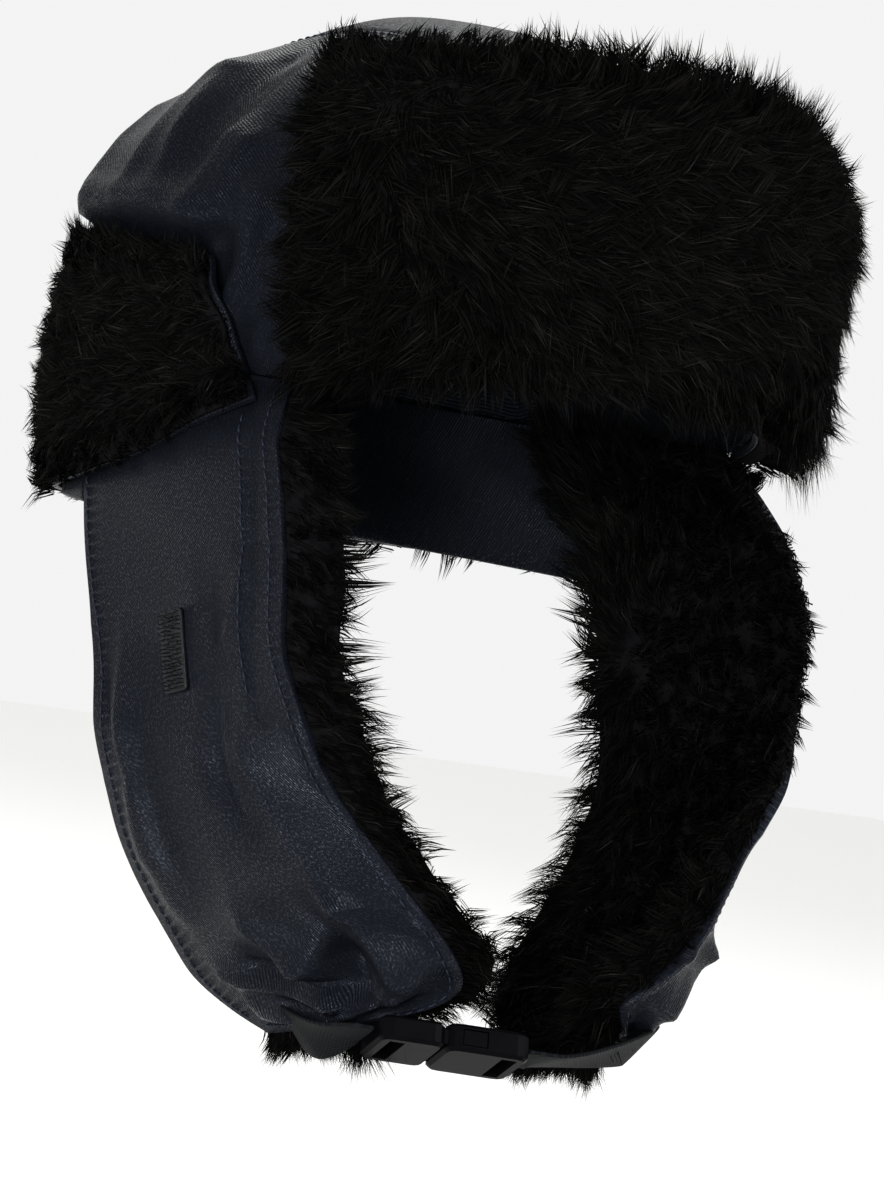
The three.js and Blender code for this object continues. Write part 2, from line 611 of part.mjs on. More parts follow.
// Hook-and-loop patch: a flat pad sewn on the outside of an ear flap.
function addPatch(name, side) {
  const surface = (u, v) => earPoint(side, u, v, 0);
  const [u, v] = [0.5, 0.355];
  const centre = surface(u, v);
  const down = surface(u + 0.03, v + 0.1).sub(surface(u - 0.03, v - 0.1)).normalize();
  const across = surface(u + 0.1, v).sub(surface(u - 0.1, v));
  const out = new THREE.Vector3().crossVectors(across, down).normalize();
  if (out.x * side > 0) out.negate();
  across.crossVectors(down, out);
  const turned = new THREE.Matrix4().makeBasis(across, down, out);
  const seat = Math.max(
    ...[-0.5, 0, 0.5].flatMap((i) =>
      [-0.5, 0, 0.5].map((j) => {
        const p = surface(u + i * 0.13, v + j * 0.14);
        return p.sub(centre).dot(out);
      }),
    ),
  );
  const box = new THREE.BoxGeometry(PATCH_WIDTH, PATCH_HEIGHT, PATCH_THICKNESS);
  const mesh = new THREE.Mesh(box, finish(0x07080b, 1));
  mesh.name = `hook_patch_${name}`;
  const lift = Math.max(0, seat) + GAP + PATCH_THICKNESS / 2;
  mesh.position.copy(centre.addScaledVector(out, lift));
  mesh.quaternion.setFromRotationMatrix(turned);
  group.add(mesh);
}

// Band of webbing along a path of places, each with the way its flat face looks.
function band(places, width, thickness) {
  const path = new THREE.CatmullRomCurve3(places.map((p) => p.at));
  const faces = new THREE.CatmullRomCurve3(places.map((p) => p.face));
  const columns = 4 * (places.length - 1);
  const corner = (t, across, out) => {
    const tangent = path.getTangent(t);
    const face = faces.getPoint(t);
    const side = new THREE.Vector3().crossVectors(tangent, face).normalize();
    const normal = new THREE.Vector3().crossVectors(side, tangent).normalize();
    return path.getPoint(t).addScaledVector(side, across).addScaledVector(normal, out);
  };
  const layer = (out) => grid(columns, 1, (t, s) => corner(t, (s - 0.5) * width, out));
  return wall(layer(thickness / 2), layer(-thickness / 2));
}

// Side-release buckle, fastened. It is made along X with its outer face up, then turned as a group.
function boxAt(x0, x1, y0, y1, z0, z1) {
  const box = new THREE.BoxGeometry(x1 - x0, y1 - y0, z1 - z0);
  return solidOf(box.translate((x0 + x1) / 2, (y0 + y1) / 2, (z0 + z1) / 2));
}

function roundedPlate(x0, x1, halfWidth, thickness, radius) {
  const bevel = 1;
  const shape = new THREE.Shape();
  const [a, b, h, r] = [x0 + bevel, x1 - bevel, halfWidth - bevel, radius];
  shape.moveTo(a + r, -h).lineTo(b - r, -h).quadraticCurveTo(b, -h, b, -h + r);
  shape.lineTo(b, h - r).quadraticCurveTo(b, h, b - r, h).lineTo(a + r, h);
  shape.quadraticCurveTo(a, h, a, h - r).lineTo(a, -h + r).quadraticCurveTo(a, -h, a + r, -h);
  const plate = new THREE.ExtrudeGeometry(shape, {
    depth: thickness - 2 * bevel,
    bevelThickness: bevel,
    bevelSize: bevel,
    bevelSegments: 1,
    curveSegments: 3,
  });
  return solidOf(plate.translate(0, 0, -thickness / 2 + bevel));
}

const BAR = 3;
const SLOT = 4.2;
const SOCKET_LENGTH = 0.56 * BUCKLE_LENGTH;

function socketSolid() {
  const [w, t] = [BUCKLE_WIDTH / 2, BUCKLE_THICKNESS / 2];
  const end = BUCKLE_LENGTH / 2;
  const mouth = end - SOCKET_LENGTH;
  const slotHalf = STRAP_WIDTH / 2 + 0.8;
  const body = roundedPlate(mouth, end, w, BUCKLE_THICKNESS, 3);
  const hollowEnd = end - BAR - SLOT - 1.6;
  const cavity = boxAt(mouth - 1, hollowEnd, -w + 1.6, w - 1.6, -t + 1.5, t - 1.5);
  const windows = boxAt(mouth + 4, mouth + 11, -w - 1, w + 1, -t + 1.5, t - 1.5);
  const slot = boxAt(end - BAR - SLOT, end - BAR, -slotHalf, slotHalf, -t - 1, t + 1);
  return body.subtract(cavity).subtract(windows).subtract(slot);
}

function plugSolid() {
  const [w, t] = [BUCKLE_WIDTH / 2, BUCKLE_THICKNESS / 2];
  const start = -BUCKLE_LENGTH / 2;
  const mouth = BUCKLE_LENGTH / 2 - SOCKET_LENGTH;
  const slotHalf = STRAP_WIDTH / 2 + 0.8;
  const body = roundedPlate(start, mouth - GAP, w, BUCKLE_THICKNESS - 0.8, 2.5);
  const slot = boxAt(start + BAR, start + BAR + SLOT, -slotHalf, slotHalf, -t - 1, t + 1);
  const inner = t - 1.5 - GAP;
  const armEdge = w - 1.6 - GAP;
  const arms = [1, -1].map((side) => {
    const [y0, y1] = [side * armEdge, side * (armEdge - 3)].sort((a, b) => a - b);
    const arm = boxAt(mouth - 2, mouth + 12.5, y0, y1, -inner, inner);
    const [p0, p1] = [side * (w - 0.2), side * (armEdge - 1)].sort((a, b) => a - b);
    const press = boxAt(mouth + 4 + GAP, mouth + 11 - GAP, p0, p1, -inner, inner);
    return arm.add(press);
  });
  const guide = boxAt(mouth - 2, mouth + 8, -1.6, 1.6, -inner, inner);
  return wasm.Manifold.union([body.subtract(slot), ...arms, guide]);
}

function addStrapAndBuckle() {
  const tilt = degrees(BUCKLE_TILT);
  const corner = earPoint(1, 0, 1, 0);
  const inward = new THREE.Vector3(BUCKLE_INWARD, -BUCKLE_AHEAD, -BUCKLE_BELOW);
  const centre = corner.add(inward);
  const along = new THREE.Vector3(0.93, -0.37, 0).normalize();
  const level = new THREE.Vector3(along.y, -along.x, 0);
  const face = level.multiplyScalar(Math.cos(tilt)).setZ(-Math.sin(tilt)).normalize();
  const across = new THREE.Vector3().crossVectors(face, along);
  const holder = new THREE.Group();
  holder.position.copy(centre);
  holder.quaternion.setFromRotationMatrix(new THREE.Matrix4().makeBasis(along, across, face));
  group.add(holder);
  add("buckle_socket", socketSolid(), PLASTIC(), holder);
  add("buckle_plug", plugSolid(), PLASTIC(), holder);
  const half = BUCKLE_LENGTH / 2;
  const lift = GAP + STRAP_THICKNESS / 2;
  const inBuckle = (x, z) => ({
    at: centre.clone().addScaledVector(along, x).addScaledVector(face, z),
    face: face.clone(),
  });
  const onFlap = (side, u, v, extra) => {
    const at = earPoint(side, u, v, lift + extra);
    const under = earPoint(side, u, v, 0);
    return { at, face: at.clone().sub(under).normalize() };
  };
  const rightPlaces = [
    onFlap(1, 0.56, 0.94, STRAP_EASE),
    onFlap(1, 0.42, 0.94, 2 * STRAP_EASE),
    inBuckle(-half - STRAP_BEND, 0),
    inBuckle(-half - 5 * GAP, 0),
  ];
  const leftPlaces = [
    inBuckle(half + 2 * GAP, 0),
    inBuckle(half + STRAP_BEND, 0),
    onFlap(-1, 0.26, 0.87, 2 * STRAP_EASE),
    onFlap(-1, 0.44, 0.83, STRAP_EASE),
  ];
  add("strap_right", band(rightPlaces, STRAP_WIDTH, STRAP_THICKNESS), WEBBING());
  add("strap_left", band(leftPlaces, STRAP_WIDTH, STRAP_THICKNESS), WEBBING());
}

addCrown();
addFrontFlap();
addCuff();
addNeckBand();
for (const [name, side] of [["right", 1], ["left", -1]]) {
  addEarFlap(name, side);
  addPatch(name, side);
}
addStrapAndBuckle();

export default group;
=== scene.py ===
# %% [markdown]
# # A trapper hat
# The hat is sewn from dark satin twill and lined with black faux fur. It has a crown of three
# panels, a fur flap turned up in front, a fur cuff turned up behind, two ear flaps worn down and a
# strap that is buckled under the chin. The solid part fixes where everything is, and this notebook
# gives it cloth, fur, thread and plastic.

# %% Load the solid part and keep its box
import math

import bpy
import numpy as np
from mathutils import Matrix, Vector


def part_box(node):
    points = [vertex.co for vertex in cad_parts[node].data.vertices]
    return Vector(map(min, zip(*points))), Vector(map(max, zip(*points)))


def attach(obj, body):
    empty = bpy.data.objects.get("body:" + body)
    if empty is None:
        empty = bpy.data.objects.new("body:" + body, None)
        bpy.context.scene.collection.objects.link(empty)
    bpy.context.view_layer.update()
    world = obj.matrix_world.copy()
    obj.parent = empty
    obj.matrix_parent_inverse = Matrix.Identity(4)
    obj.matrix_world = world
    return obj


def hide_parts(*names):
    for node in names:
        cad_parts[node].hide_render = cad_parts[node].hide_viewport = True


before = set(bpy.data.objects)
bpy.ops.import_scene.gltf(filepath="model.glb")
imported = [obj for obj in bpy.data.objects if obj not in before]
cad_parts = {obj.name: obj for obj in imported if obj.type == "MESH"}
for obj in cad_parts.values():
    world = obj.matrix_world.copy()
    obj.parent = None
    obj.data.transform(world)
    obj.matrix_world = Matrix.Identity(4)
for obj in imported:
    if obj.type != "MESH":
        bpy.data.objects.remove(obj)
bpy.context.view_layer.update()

# %% [markdown]
# ## The camera
# The picture looks at the hat from its right front, a little from above, and leans to one side.
# A long lens from 1.6 m away keeps the outlines as flat as a product picture does. A camera looks
# along its own minus Z, so its matrix holds three columns: its right, its up and its back.

# %% Camera
LOOK_AT = np.array([0.0, 0.0, -0.156])
SEEN_FROM, SEEN_ABOVE, LEAN = np.radians([-38.0, 2.0, 10.5])
AWAY, FRAME_HEIGHT, SENSOR = 1.6, 0.3333, 36.0
SHIFT_RIGHT, SHIFT_UP = 0.0186, -0.0039

back = np.array([math.sin(SEEN_FROM) * math.cos(SEEN_ABOVE),
                 -math.cos(SEEN_FROM) * math.cos(SEEN_ABOVE), math.sin(SEEN_ABOVE)])
level = np.array([math.cos(SEEN_FROM), math.sin(SEEN_FROM), 0.0])
upright = np.cross(back, level)
right = level * math.cos(LEAN) + upright * math.sin(LEAN)
up = upright * math.cos(LEAN) - level * math.sin(LEAN)
place = LOOK_AT + SHIFT_RIGHT * right + SHIFT_UP * up + AWAY * back

camera = bpy.data.objects.new("camera", bpy.data.cameras.new("camera"))
bpy.context.scene.collection.objects.link(camera)
camera.data.sensor_width = SENSOR
camera.data.lens = SENSOR * AWAY / FRAME_HEIGHT
axes = np.stack([right, up, back], axis=1)
camera.matrix_world = Matrix([[*axes[k], place[k]] for k in range(3)] + [[0, 0, 0, 1]])
bpy.context.scene.camera = camera
print("camera at", np.round(place, 3), "with a lens of", round(camera.data.lens, 1), "mm")

# %% [markdown]
# ## The shapes
# Every piece of cloth and fur lies on a surface that takes two shares, across and down, and gives
# a point. The surfaces repeat the solid part's own curves, so a fine cloth lands where its coarse
# solid is. All of it is worked out in millimetres and for whole arrays of places at a time.

# %% Sizes of the hat, in millimetres
CLOTH_WALL, GAP, SEAM_GAP, FOLD_EASE = 2.0, 0.3, 0.5, 0.8
CROWN_HALF_WIDTH, CROWN_HALF_LENGTH, CROWN_HEIGHT = 83.0, 103.0, 106.0
CROWN_RISE_POWER, CROWN_PLAN_POWER, CROWN_PUFF = 2.25, 2.2, 10.0
STRIP_HALF_WIDTH, STRIP_END_SHARE, PANEL_PILLOW = 34.0, 0.62, 2.2
SKIRT_HALF_WIDTH, SKIRT_DROP = 92.0, 173.0
FLAP_TURN, FLAP_LIFT, FLAP_TOP, FLAP_END_DIP, FLAP_SPREAD = 61.5, 13.0, 10.0, 7.0, 0.09
FLAP_STAND, FLAP_PILE = 27.0, 15.0
CUFF_STAND, CUFF_PILE, CUFF_HEM = 1.5, 6.5, 0.012
LINING_PILE, LINING_REACH = 11.0, 0.14

# %% Sections and outlines
# depth, width, front, back, roundness in front and behind, as in the sewn pattern
SKIRT = np.array([
    [0.0, 0.915, 1.0, 1.0, 2.2, 2.2], [0.045, 0.95, 1.13, 0.965, 2.9, 2.1],
    [0.1, 0.99, 1.2, 0.93, 3.6, 2.0], [0.19, 1.01, 1.31, 0.88, 4.0, 1.9],
    [0.3, 1.01, 1.36, 0.84, 4.0, 1.9], [0.42, 1.0, 1.3, 0.84, 4.0, 1.9],
    [0.57, 0.985, 1.15, 0.82, 3.2, 1.9], [0.66, 0.93, 1.135, 0.82, 3.0, 1.9],
    [0.73, 0.87, 1.13, 0.82, 3.0, 1.9], [0.8, 0.79, 1.11, 0.82, 3.0, 1.9],
    [0.86, 0.71, 1.05, 0.82, 3.0, 1.9], [0.93, 0.61, 1.0, 0.82, 3.0, 1.9],
    [1.0, 0.5, 0.99, 0.82, 3.0, 1.9]])
# front turn, front depth, back turn, back depth of an ear flap, from the rim down
EAR = np.array([
    [62, 0.0, 112, 0.0], [63, 0.05, 109, 0.08], [61.5, 0.14, 104, 0.16], [60, 0.27, 98, 0.27],
    [57.5, 0.4, 91, 0.4], [50, 0.52, 87, 0.53], [43, 0.62, 85, 0.64], [36, 0.71, 84, 0.74],
    [29, 0.785, 82.5, 0.82], [24, 0.845, 80, 0.89], [26, 0.875, 77, 0.94],
    [34, 0.905, 71, 0.975], [45, 0.945, 64, 0.995]])
# low turn, low depth, high turn, high depth of the cuff, from its front edge to the back
CUFF = np.array([
    [67, 1.07, 82, 0.72], [76, 1.16, 91, 0.7], [87, 1.27, 103, 0.69], [101, 1.34, 116, 0.7],
    [121, 1.38, 133, 0.72], [149, 1.4, 155, 0.75], [180, 1.4, 180, 0.77]])
# turn, depth, end turn, end depth, width, height of the crown's big folds
CROWN_FOLDS = np.array([
    [116, 0.22, 107, 0.52, 0.07, 0.035], [100, 0.2, 96, 0.5, 0.07, -0.035],
    [88, 0.4, 87, 0.62, 0.06, 0.035], [77, 0.55, 78, 0.9, 0.06, 0.03],
    [120, 0.62, 86, 0.66, 0.06, 0.03], [150, 0.3, 145, 0.62, 0.08, -0.03]])
# across, down, end across, end down, width, height of an ear flap's pulled folds
EAR_FOLDS = np.array([
    [0.3, 0.86, 0.2, 0.72, 0.05, 0.05], [0.36, 0.88, 0.5, 0.76, 0.05, 0.045],
    [0.42, 0.93, 0.72, 0.86, 0.045, 0.045], [0.3, 0.8, 0.34, 0.74, 0.045, -0.045],
    [0.3, 0.33, 0.42, 0.5, 0.05, -0.025], [0.82, 0.42, 0.86, 0.66, 0.06, 0.025]])


# %% Curves and points
def curve(values, place):
    """Smooth curve through a list of values: on each span the cubic whose slope at a value is half
    the difference of its two neighbours, at a place from 0 to 1 along the list."""
    p = np.clip(place, 0, 1) * (len(values) - 1)
    i = np.minimum(np.floor(p).astype(int), len(values) - 2)
    f = p - i
    a, b, c, d = (values[np.clip(i + k, 0, len(values) - 1)] for k in (-1, 0, 1, 2))
    return b + 0.5 * f * (c - a + f * (2 * a - 5 * b + 4 * c - d + f * (3 * (b - c) + d - a)))


def unit(v):
    """Each vector divided by its own length."""
    return v / np.maximum(np.linalg.norm(v, axis=-1, keepdims=True), 1e-9)


def ramp(x, low, high):
    """Smooth step: 0 below low, 1 above high, and 3t squared minus 2t cubed between."""
    t = np.clip((x - low) / (high - low), 0, 1)
    return t * t * (3 - 2 * t)


def from_segment(p, a, b):
    """Distance of points from a straight line between two ends: what is left of p minus a once its
    share along b minus a, kept between 0 and 1, is taken away."""
    ab = b - a
    t = np.clip(((p - a) * ab).sum(-1) / (ab * ab).sum(), 0, 1)
    return np.linalg.norm(p - a - t[..., None] * ab, axis=-1)


def plan_point(turn, half_width, length, power, z):
    """Point of a rounded plan at a turn from the front: sine and cosine of the turn, divided by the
    power mean that bulges the oval's corners, times half the width and half the length."""
    s, c = np.sin(np.radians(turn)), np.cos(np.radians(turn))
    r = (np.abs(s) ** power + np.abs(c) ** power) ** (-1 / power)
    return np.stack(np.broadcast_arrays(-half_width * s * r, -length * c * r, z), -1)


# %% The crown and the skirt below it
def dome_share(depth):
    """Share of the full plan that the dome has at a depth below its top, by a superellipse."""
    up = np.clip(1 - depth / CROWN_HEIGHT, 0, 1)
    return np.maximum(0, 1 - up ** CROWN_RISE_POWER) ** (1 / CROWN_RISE_POWER)


def rim_lift(turn):
    """Lift of the rim over the forehead: a parabola that ends at the front flap's ends."""
    return FLAP_LIFT * np.maximum(0, 1 - (turn / FLAP_TURN) ** 2)


def crown_puff(turn, depth):
    """Soft roll of loose cloth above the cuff: nothing in front, and full at half the height."""
    share = depth / CROWN_HEIGHT
    around = ramp(np.abs(turn), FLAP_TURN, 1.5 * FLAP_TURN)
    return CROWN_PUFF * around * ramp(share, 0.05, 0.5) * (1 - ramp(share, 0.58, 0.75))


def plain_dome(turn, depth):
    """Point of the dome without folds: the plan at its share of the full size, plus the puff."""
    share, puff = dome_share(depth), crown_puff(turn, depth)
    return plan_point(turn, CROWN_HALF_WIDTH * share + puff, CROWN_HALF_LENGTH * share + puff,
                      CROWN_PLAN_POWER, CLOTH_WALL - depth)


def crown_folds(p):
    """Height of the crown's folds: for each, a bell curve of the distance from its line."""
    total = np.zeros(p.shape[:-1])
    for turn, depth, end_turn, end_depth, width, height in CROWN_FOLDS:
        for side in (1, -1):
            a = plain_dome(side * turn, depth * CROWN_HEIGHT)
            b = plain_dome(side * end_turn, end_depth * CROWN_HEIGHT)
            away = from_segment(p, a, b) / (width * CROWN_HALF_WIDTH)
            total = total + height * CROWN_HALF_WIDTH * np.exp(-away * away)
    return total


def body_point(turn, depth):
    """Outer surface of the cloth body: the folded dome above the rim and the skirt below it, whose
    sections are read off smooth curves."""
    turn, depth = np.broadcast_arrays(np.asarray(turn, float), np.asarray(depth, float))
    dome = plain_dome(turn, np.minimum(depth, CROWN_HEIGHT))
    dome = dome + unit(dome * [1, 1, 0]) * crown_folds(dome)[..., None]
    share = (depth - CROWN_HEIGHT) / SKIRT_DROP
    place = np.interp(share, SKIRT[:, 0], np.linspace(0, 1, len(SKIRT)))
    behind = np.abs(turn) >= 90
    length = np.where(behind, curve(SKIRT[:, 3], place), curve(SKIRT[:, 2], place))
    power = np.where(behind, curve(SKIRT[:, 5], place), curve(SKIRT[:, 4], place))
    half_width = curve(SKIRT[:, 1], place) * SKIRT_HALF_WIDTH
    skirt = plan_point(turn, half_width, length * CROWN_HALF_LENGTH, power, CLOTH_WALL - depth)
    return np.where((depth <= CROWN_HEIGHT)[..., None], dome, skirt)


def outside_body(turn, depth, distance):
    """Point at a distance outside the body, along the cross product of two small steps on it."""
    turn, depth = np.broadcast_arrays(np.asarray(turn, float), np.asarray(depth, float))
    step = 1.5
    across = body_point(turn - step, depth) - body_point(turn + step, depth)
    down = body_point(turn, depth + step) - body_point(turn, depth - step)
    p = body_point(turn, depth)
    normal = unit(np.cross(across, down))
    away = np.sign((normal * p * [1, 1, 0]).sum(-1, keepdims=True))
    normal = normal * np.where(away < 0, -1, 1)
    level = unit(normal * [1, 1, 0])
    normal = np.where((np.abs(depth - CROWN_HEIGHT) < CLOTH_WALL)[..., None], level, normal)
    return p + normal * np.asarray(distance)[..., None]


def dome_direction(d):
    """Point of the folded dome that a direction from its base's middle hits: the direction divided
    by its size in the dome's own superellipsoid measure, then pushed out by puff and folds."""
    d = unit(d)
    plan = (np.abs(d[..., 0]) / CROWN_HALF_WIDTH) ** CROWN_PLAN_POWER
    plan = plan + (np.abs(d[..., 1]) / CROWN_HALF_LENGTH) ** CROWN_PLAN_POWER
    rise = (np.maximum(0, d[..., 2]) / CROWN_HEIGHT) ** CROWN_RISE_POWER
    r = (plan ** (CROWN_RISE_POWER / CROWN_PLAN_POWER) + rise) ** (-1 / CROWN_RISE_POWER)
    p = d * r[..., None]
    depth = CROWN_HEIGHT - p[..., 2]
    outward = unit(p * [1, 1, 0])
    p = p + [0, 0, CLOTH_WALL - CROWN_HEIGHT]
    turn = np.degrees(np.arctan2(-p[..., 0] / CROWN_HALF_WIDTH, -p[..., 1] / CROWN_HALF_LENGTH))
    p = p + outward * crown_puff(turn, depth)[..., None]
    return p + outward * crown_folds(p)[..., None]


def seam_direction(v, half_width):
    """Direction of the seam beside the centre strip: an arc from front to back, narrower at its
    ends."""
    start = np.arcsin(rim_lift(0) / CROWN_HEIGHT)
    angle = start + (np.pi - start) * v
    narrow = STRIP_END_SHARE + (1 - STRIP_END_SHARE) * np.sin(angle)
    reach = CROWN_HALF_LENGTH + (CROWN_HEIGHT - CROWN_HALF_LENGTH) * np.sin(angle)
    return np.stack([-half_width * narrow, -np.cos(angle) * reach, np.sin(angle) * reach], -1)


def strip_way(u, v):
    """Directions over the centre strip: from one seam across to the other."""
    seam = seam_direction(v, STRIP_HALF_WIDTH - SEAM_GAP / 2)
    return seam * np.stack([1 - 2 * u, np.ones_like(u), np.ones_like(u)], -1)


def side_way(u, v, side):
    """Directions over a side panel: from its seam straight to the crown's rim."""
    half = STRIP_HALF_WIDTH + SEAM_GAP / 2
    seam = seam_direction(v, half)
    start = np.arctan2(-seam_direction(0.0, half)[0], CROWN_HALF_LENGTH)
    turn = start + (np.pi - 2 * start) * v
    rim = np.stack([-CROWN_HALF_LENGTH * np.sin(turn), -CROWN_HALF_LENGTH * np.cos(turn),
                    rim_lift(np.degrees(turn))], -1)
    return (seam + (rim - seam) * u[..., None]) * [side, 1, 1]


def pillow(share):
    """Swell of a panel between its seams: the square root of a half sine wave."""
    return np.sqrt(np.sin(np.pi * np.clip(share, 0, 1)))


def panel_point(way, swell, u, v, inset):
    """Point of a crown panel: the dome where its direction hits, moved along the surface's normal
    by the panel's swell and by how far inside its outer face the point lies."""
    p = dome_direction(way(u, v))
    step = 0.02
    du = dome_direction(way(u + step, v)) - dome_direction(way(u - step, v))
    dv = dome_direction(way(u, v + step)) - dome_direction(way(u, v - step))
    normal = unit(np.cross(du, dv))
    middle = np.array([0, 0, CLOTH_WALL - CROWN_HEIGHT])
    normal = normal * np.where((normal * (p - middle)).sum(-1, keepdims=True) < 0, -1, 1)
    low = (p[..., 2] - middle[2] < CLOTH_WALL)[..., None]
    normal = np.where(low, unit(normal * [1, 1, 0]), normal)
    return p + normal * (PANEL_PILLOW * (swell(u) - 1) - inset)[..., None]


# %% The front flap, the cuff, the ear flaps and the neck band
def front_flap_point(u, v, distance):
    """Point of the turned-up front flap, from its right end to its left and upwards: the dome
    pushed out towards an upright oval, and by the distance along a way that tilts up near the
    top."""
    foot = FLAP_TURN * (1 - 2 * u)
    turn = foot * (1 + FLAP_SPREAD * v)
    low = CROWN_HEIGHT - rim_lift(foot)
    high = FLAP_TOP + FLAP_END_DIP * (1 - 2 * u) ** 2
    depth = low + (high - low) * v
    dome = plain_dome(turn, depth)
    share = dome_share(low)
    upright = plan_point(turn, CROWN_HALF_WIDTH * share, CROWN_HALF_LENGTH * share,
                         CROWN_PLAN_POWER, CLOTH_WALL - depth)
    room = np.hypot(upright[..., 0] - dome[..., 0], upright[..., 1] - dome[..., 1])
    outward = unit(dome * [1, 1, 0])
    stand = np.minimum(room, FLAP_STAND * v) + 0.2 * FLAP_STAND * np.sin(np.pi * v)
    tilt = 0.5 * np.maximum(0, v - 0.5)
    way = unit(outward + np.stack([0 * tilt, 0 * tilt, tilt], -1))
    return dome + outward * (stand + GAP)[..., None] + way * np.asarray(distance)[..., None]


def cuff_point(u, v, distance):
    """Point of the turned-up back cuff, from its right front edge round the back to its left one:
    the body's surface, pushed out by the fold's ease and by the distance."""
    side = np.where(u < 0.5, 1.0, -1.0)
    place = 1 - np.abs(2 * u - 1)
    low_turn, low, high_turn, high = (curve(CUFF[:, k], place) for k in range(4))
    turn = side * (low_turn + (high_turn - low_turn) * v)
    depth = (low + (high - low) * v) * CROWN_HEIGHT
    stand = CUFF_STAND * ramp(v, 0, 0.5)
    return outside_body(turn, depth, GAP + FOLD_EASE + stand + distance)


def ear_fold(u, v):
    """Height of an ear flap's pulled folds: a bell curve of the distance from each one's line."""
    p = np.stack([u, v], -1)
    total = np.zeros(p.shape[:-1])
    for across, down, end_across, end_down, width, height in EAR_FOLDS:
        away = from_segment(p, np.array([across, down]), np.array([end_across, end_down])) / width
        total = total + height * SKIRT_HALF_WIDTH * np.exp(-away * away)
    return total


def ear_point(side, u, v, distance):
    """Point of an ear flap, from its front edge to its back edge and down from the rim: the body's
    surface between the flap's two edges, pushed out by folds and by the distance."""
    front_turn, front_depth, back_turn, back_depth = (curve(EAR[:, k], v) for k in range(4))
    turn = front_turn + (back_turn - front_turn) * u
    depth = CROWN_HEIGHT + GAP + (front_depth + (back_depth - front_depth) * u) * SKIRT_DROP
    return outside_body(side * turn, depth, distance + ear_fold(u, v))


def neck_point(u, v, distance):
    """Point of the neck band: the body's surface between the back edges of the two ear flaps."""
    lowest = CUFF[-1, 1] * CROWN_HEIGHT
    depth = CROWN_HEIGHT + GAP + (lowest - CROWN_HEIGHT - GAP) * v
    share = (depth - CROWN_HEIGHT) / SKIRT_DROP
    edge = curve(EAR[:, 2], np.interp(share, EAR[:, 3], np.linspace(0, 1, len(EAR))))
    edge = edge + np.degrees(2 * GAP / SKIRT_HALF_WIDTH)
    turn = edge + (360 - 2 * edge) * u
    return outside_body(np.where(turn > 180, turn - 360, turn), depth, distance)


# %% [markdown]
# ## Making meshes
# A mesh is a list of points and a list of faces. The helpers here take arrays, give the piece its
# material, a map in metres for the weave, and its place on the hat. Faces are turned outwards by
# the sign of the volume that they close.

# %% Meshes from arrays
def mesh_object(name, points, faces, material, mm=True):
    """New object from points and from faces, which are arrays of rows of corner numbers."""
    mesh = bpy.data.meshes.new(name)
    points = np.asarray(points, float).reshape(-1, 3) * (0.001 if mm else 1.0)
    corners = np.concatenate([f.reshape(-1) for f in faces]).astype(np.int32)
    sizes = np.concatenate([np.full(len(f), f.shape[1]) for f in faces])
    starts = np.concatenate([[0], np.cumsum(sizes)[:-1]]).astype(np.int32)
    mesh.vertices.add(len(points))
    mesh.vertices.foreach_set("co", points.astype(np.float32).ravel())
    mesh.loops.add(len(corners))
    mesh.loops.foreach_set("vertex_index", corners)
    mesh.polygons.add(len(sizes))
    mesh.polygons.foreach_set("loop_start", starts)
    mesh.update(calc_edges=True)
    mesh.validate()
    mesh.polygons.foreach_set("use_smooth", np.ones(len(mesh.polygons), bool))
    mesh.materials.append(material)
    made = bpy.data.objects.new(name, mesh)
    bpy.context.scene.collection.objects.link(made)
    return made


def volume(points, faces):
    """Volume that faces close: the sum of the small pyramids from the origin to each triangle."""
    total = 0.0
    for f in faces:
        for k in range(1, f.shape[1] - 1):
            a, b, c = points[f[:, 0]], points[f[:, k]], points[f[:, k + 1]]
            total += (a * np.cross(b, c)).sum() / 6
    return total


def outwards(points, faces):
    """Faces turned so that they close a positive volume."""
    return faces if volume(points, faces) > 0 else [f[:, ::-1] for f in faces]


def grid_faces(rows, columns, start=0):
    """Four-sided faces between the neighbours of a grid of points."""
    n = start + np.arange(rows * columns).reshape(rows, columns)
    return np.stack([n[:-1, :-1], n[1:, :-1], n[1:, 1:], n[:-1, 1:]], -1).reshape(-1, 4)


def rim_numbers(rows, columns):
    """Numbers of a grid's rim points, once round."""
    n = np.arange(rows * columns).reshape(rows, columns)
    return np.concatenate([n[0, :-1], n[:-1, -1], n[-1, :0:-1], n[:0:-1, 0]])


def closed_grids(outer, inner):
    """Points and faces of the closed shape between two grids of one size."""
    rows, columns = outer.shape[:2]
    count = rows * columns
    rim = rim_numbers(rows, columns)
    after = np.roll(rim, -1)
    faces = [grid_faces(rows, columns), grid_faces(rows, columns, count)[:, ::-1],
             np.stack([rim, after, count + after, count + rim], -1)]
    points = np.concatenate([outer.reshape(-1, 3), inner.reshape(-1, 3)])
    return points, outwards(points, faces)


def ring_faces(rings, sides):
    """Faces of a closed tube of rings: quads from ring to ring, and triangles to the middle point
    of each end. The two middle points are numbered after the rings'."""
    k = np.arange(sides)
    after = (k + 1) % sides
    quads = [np.stack([j * sides + k, j * sides + after, (j + 1) * sides + after,
                       (j + 1) * sides + k], -1) for j in range(rings - 1)]
    last, middle = (rings - 1) * sides, 0 * k + rings * sides
    ends = [np.stack([after, k, middle], -1), np.stack([last + k, last + after, middle + 1], -1)]
    return np.concatenate(quads), np.concatenate(ends)


def put_map(made, name, values):
    """Map on the mesh: one pair of metres for each point, copied to each face's corners."""
    mesh = made.data
    corner = np.empty(len(mesh.loops), np.int32)
    mesh.loops.foreach_get("vertex_index", corner)
    layer = mesh.uv_layers.new(name=name)
    layer.data.foreach_set("uv", values[corner].astype(np.float32).ravel())


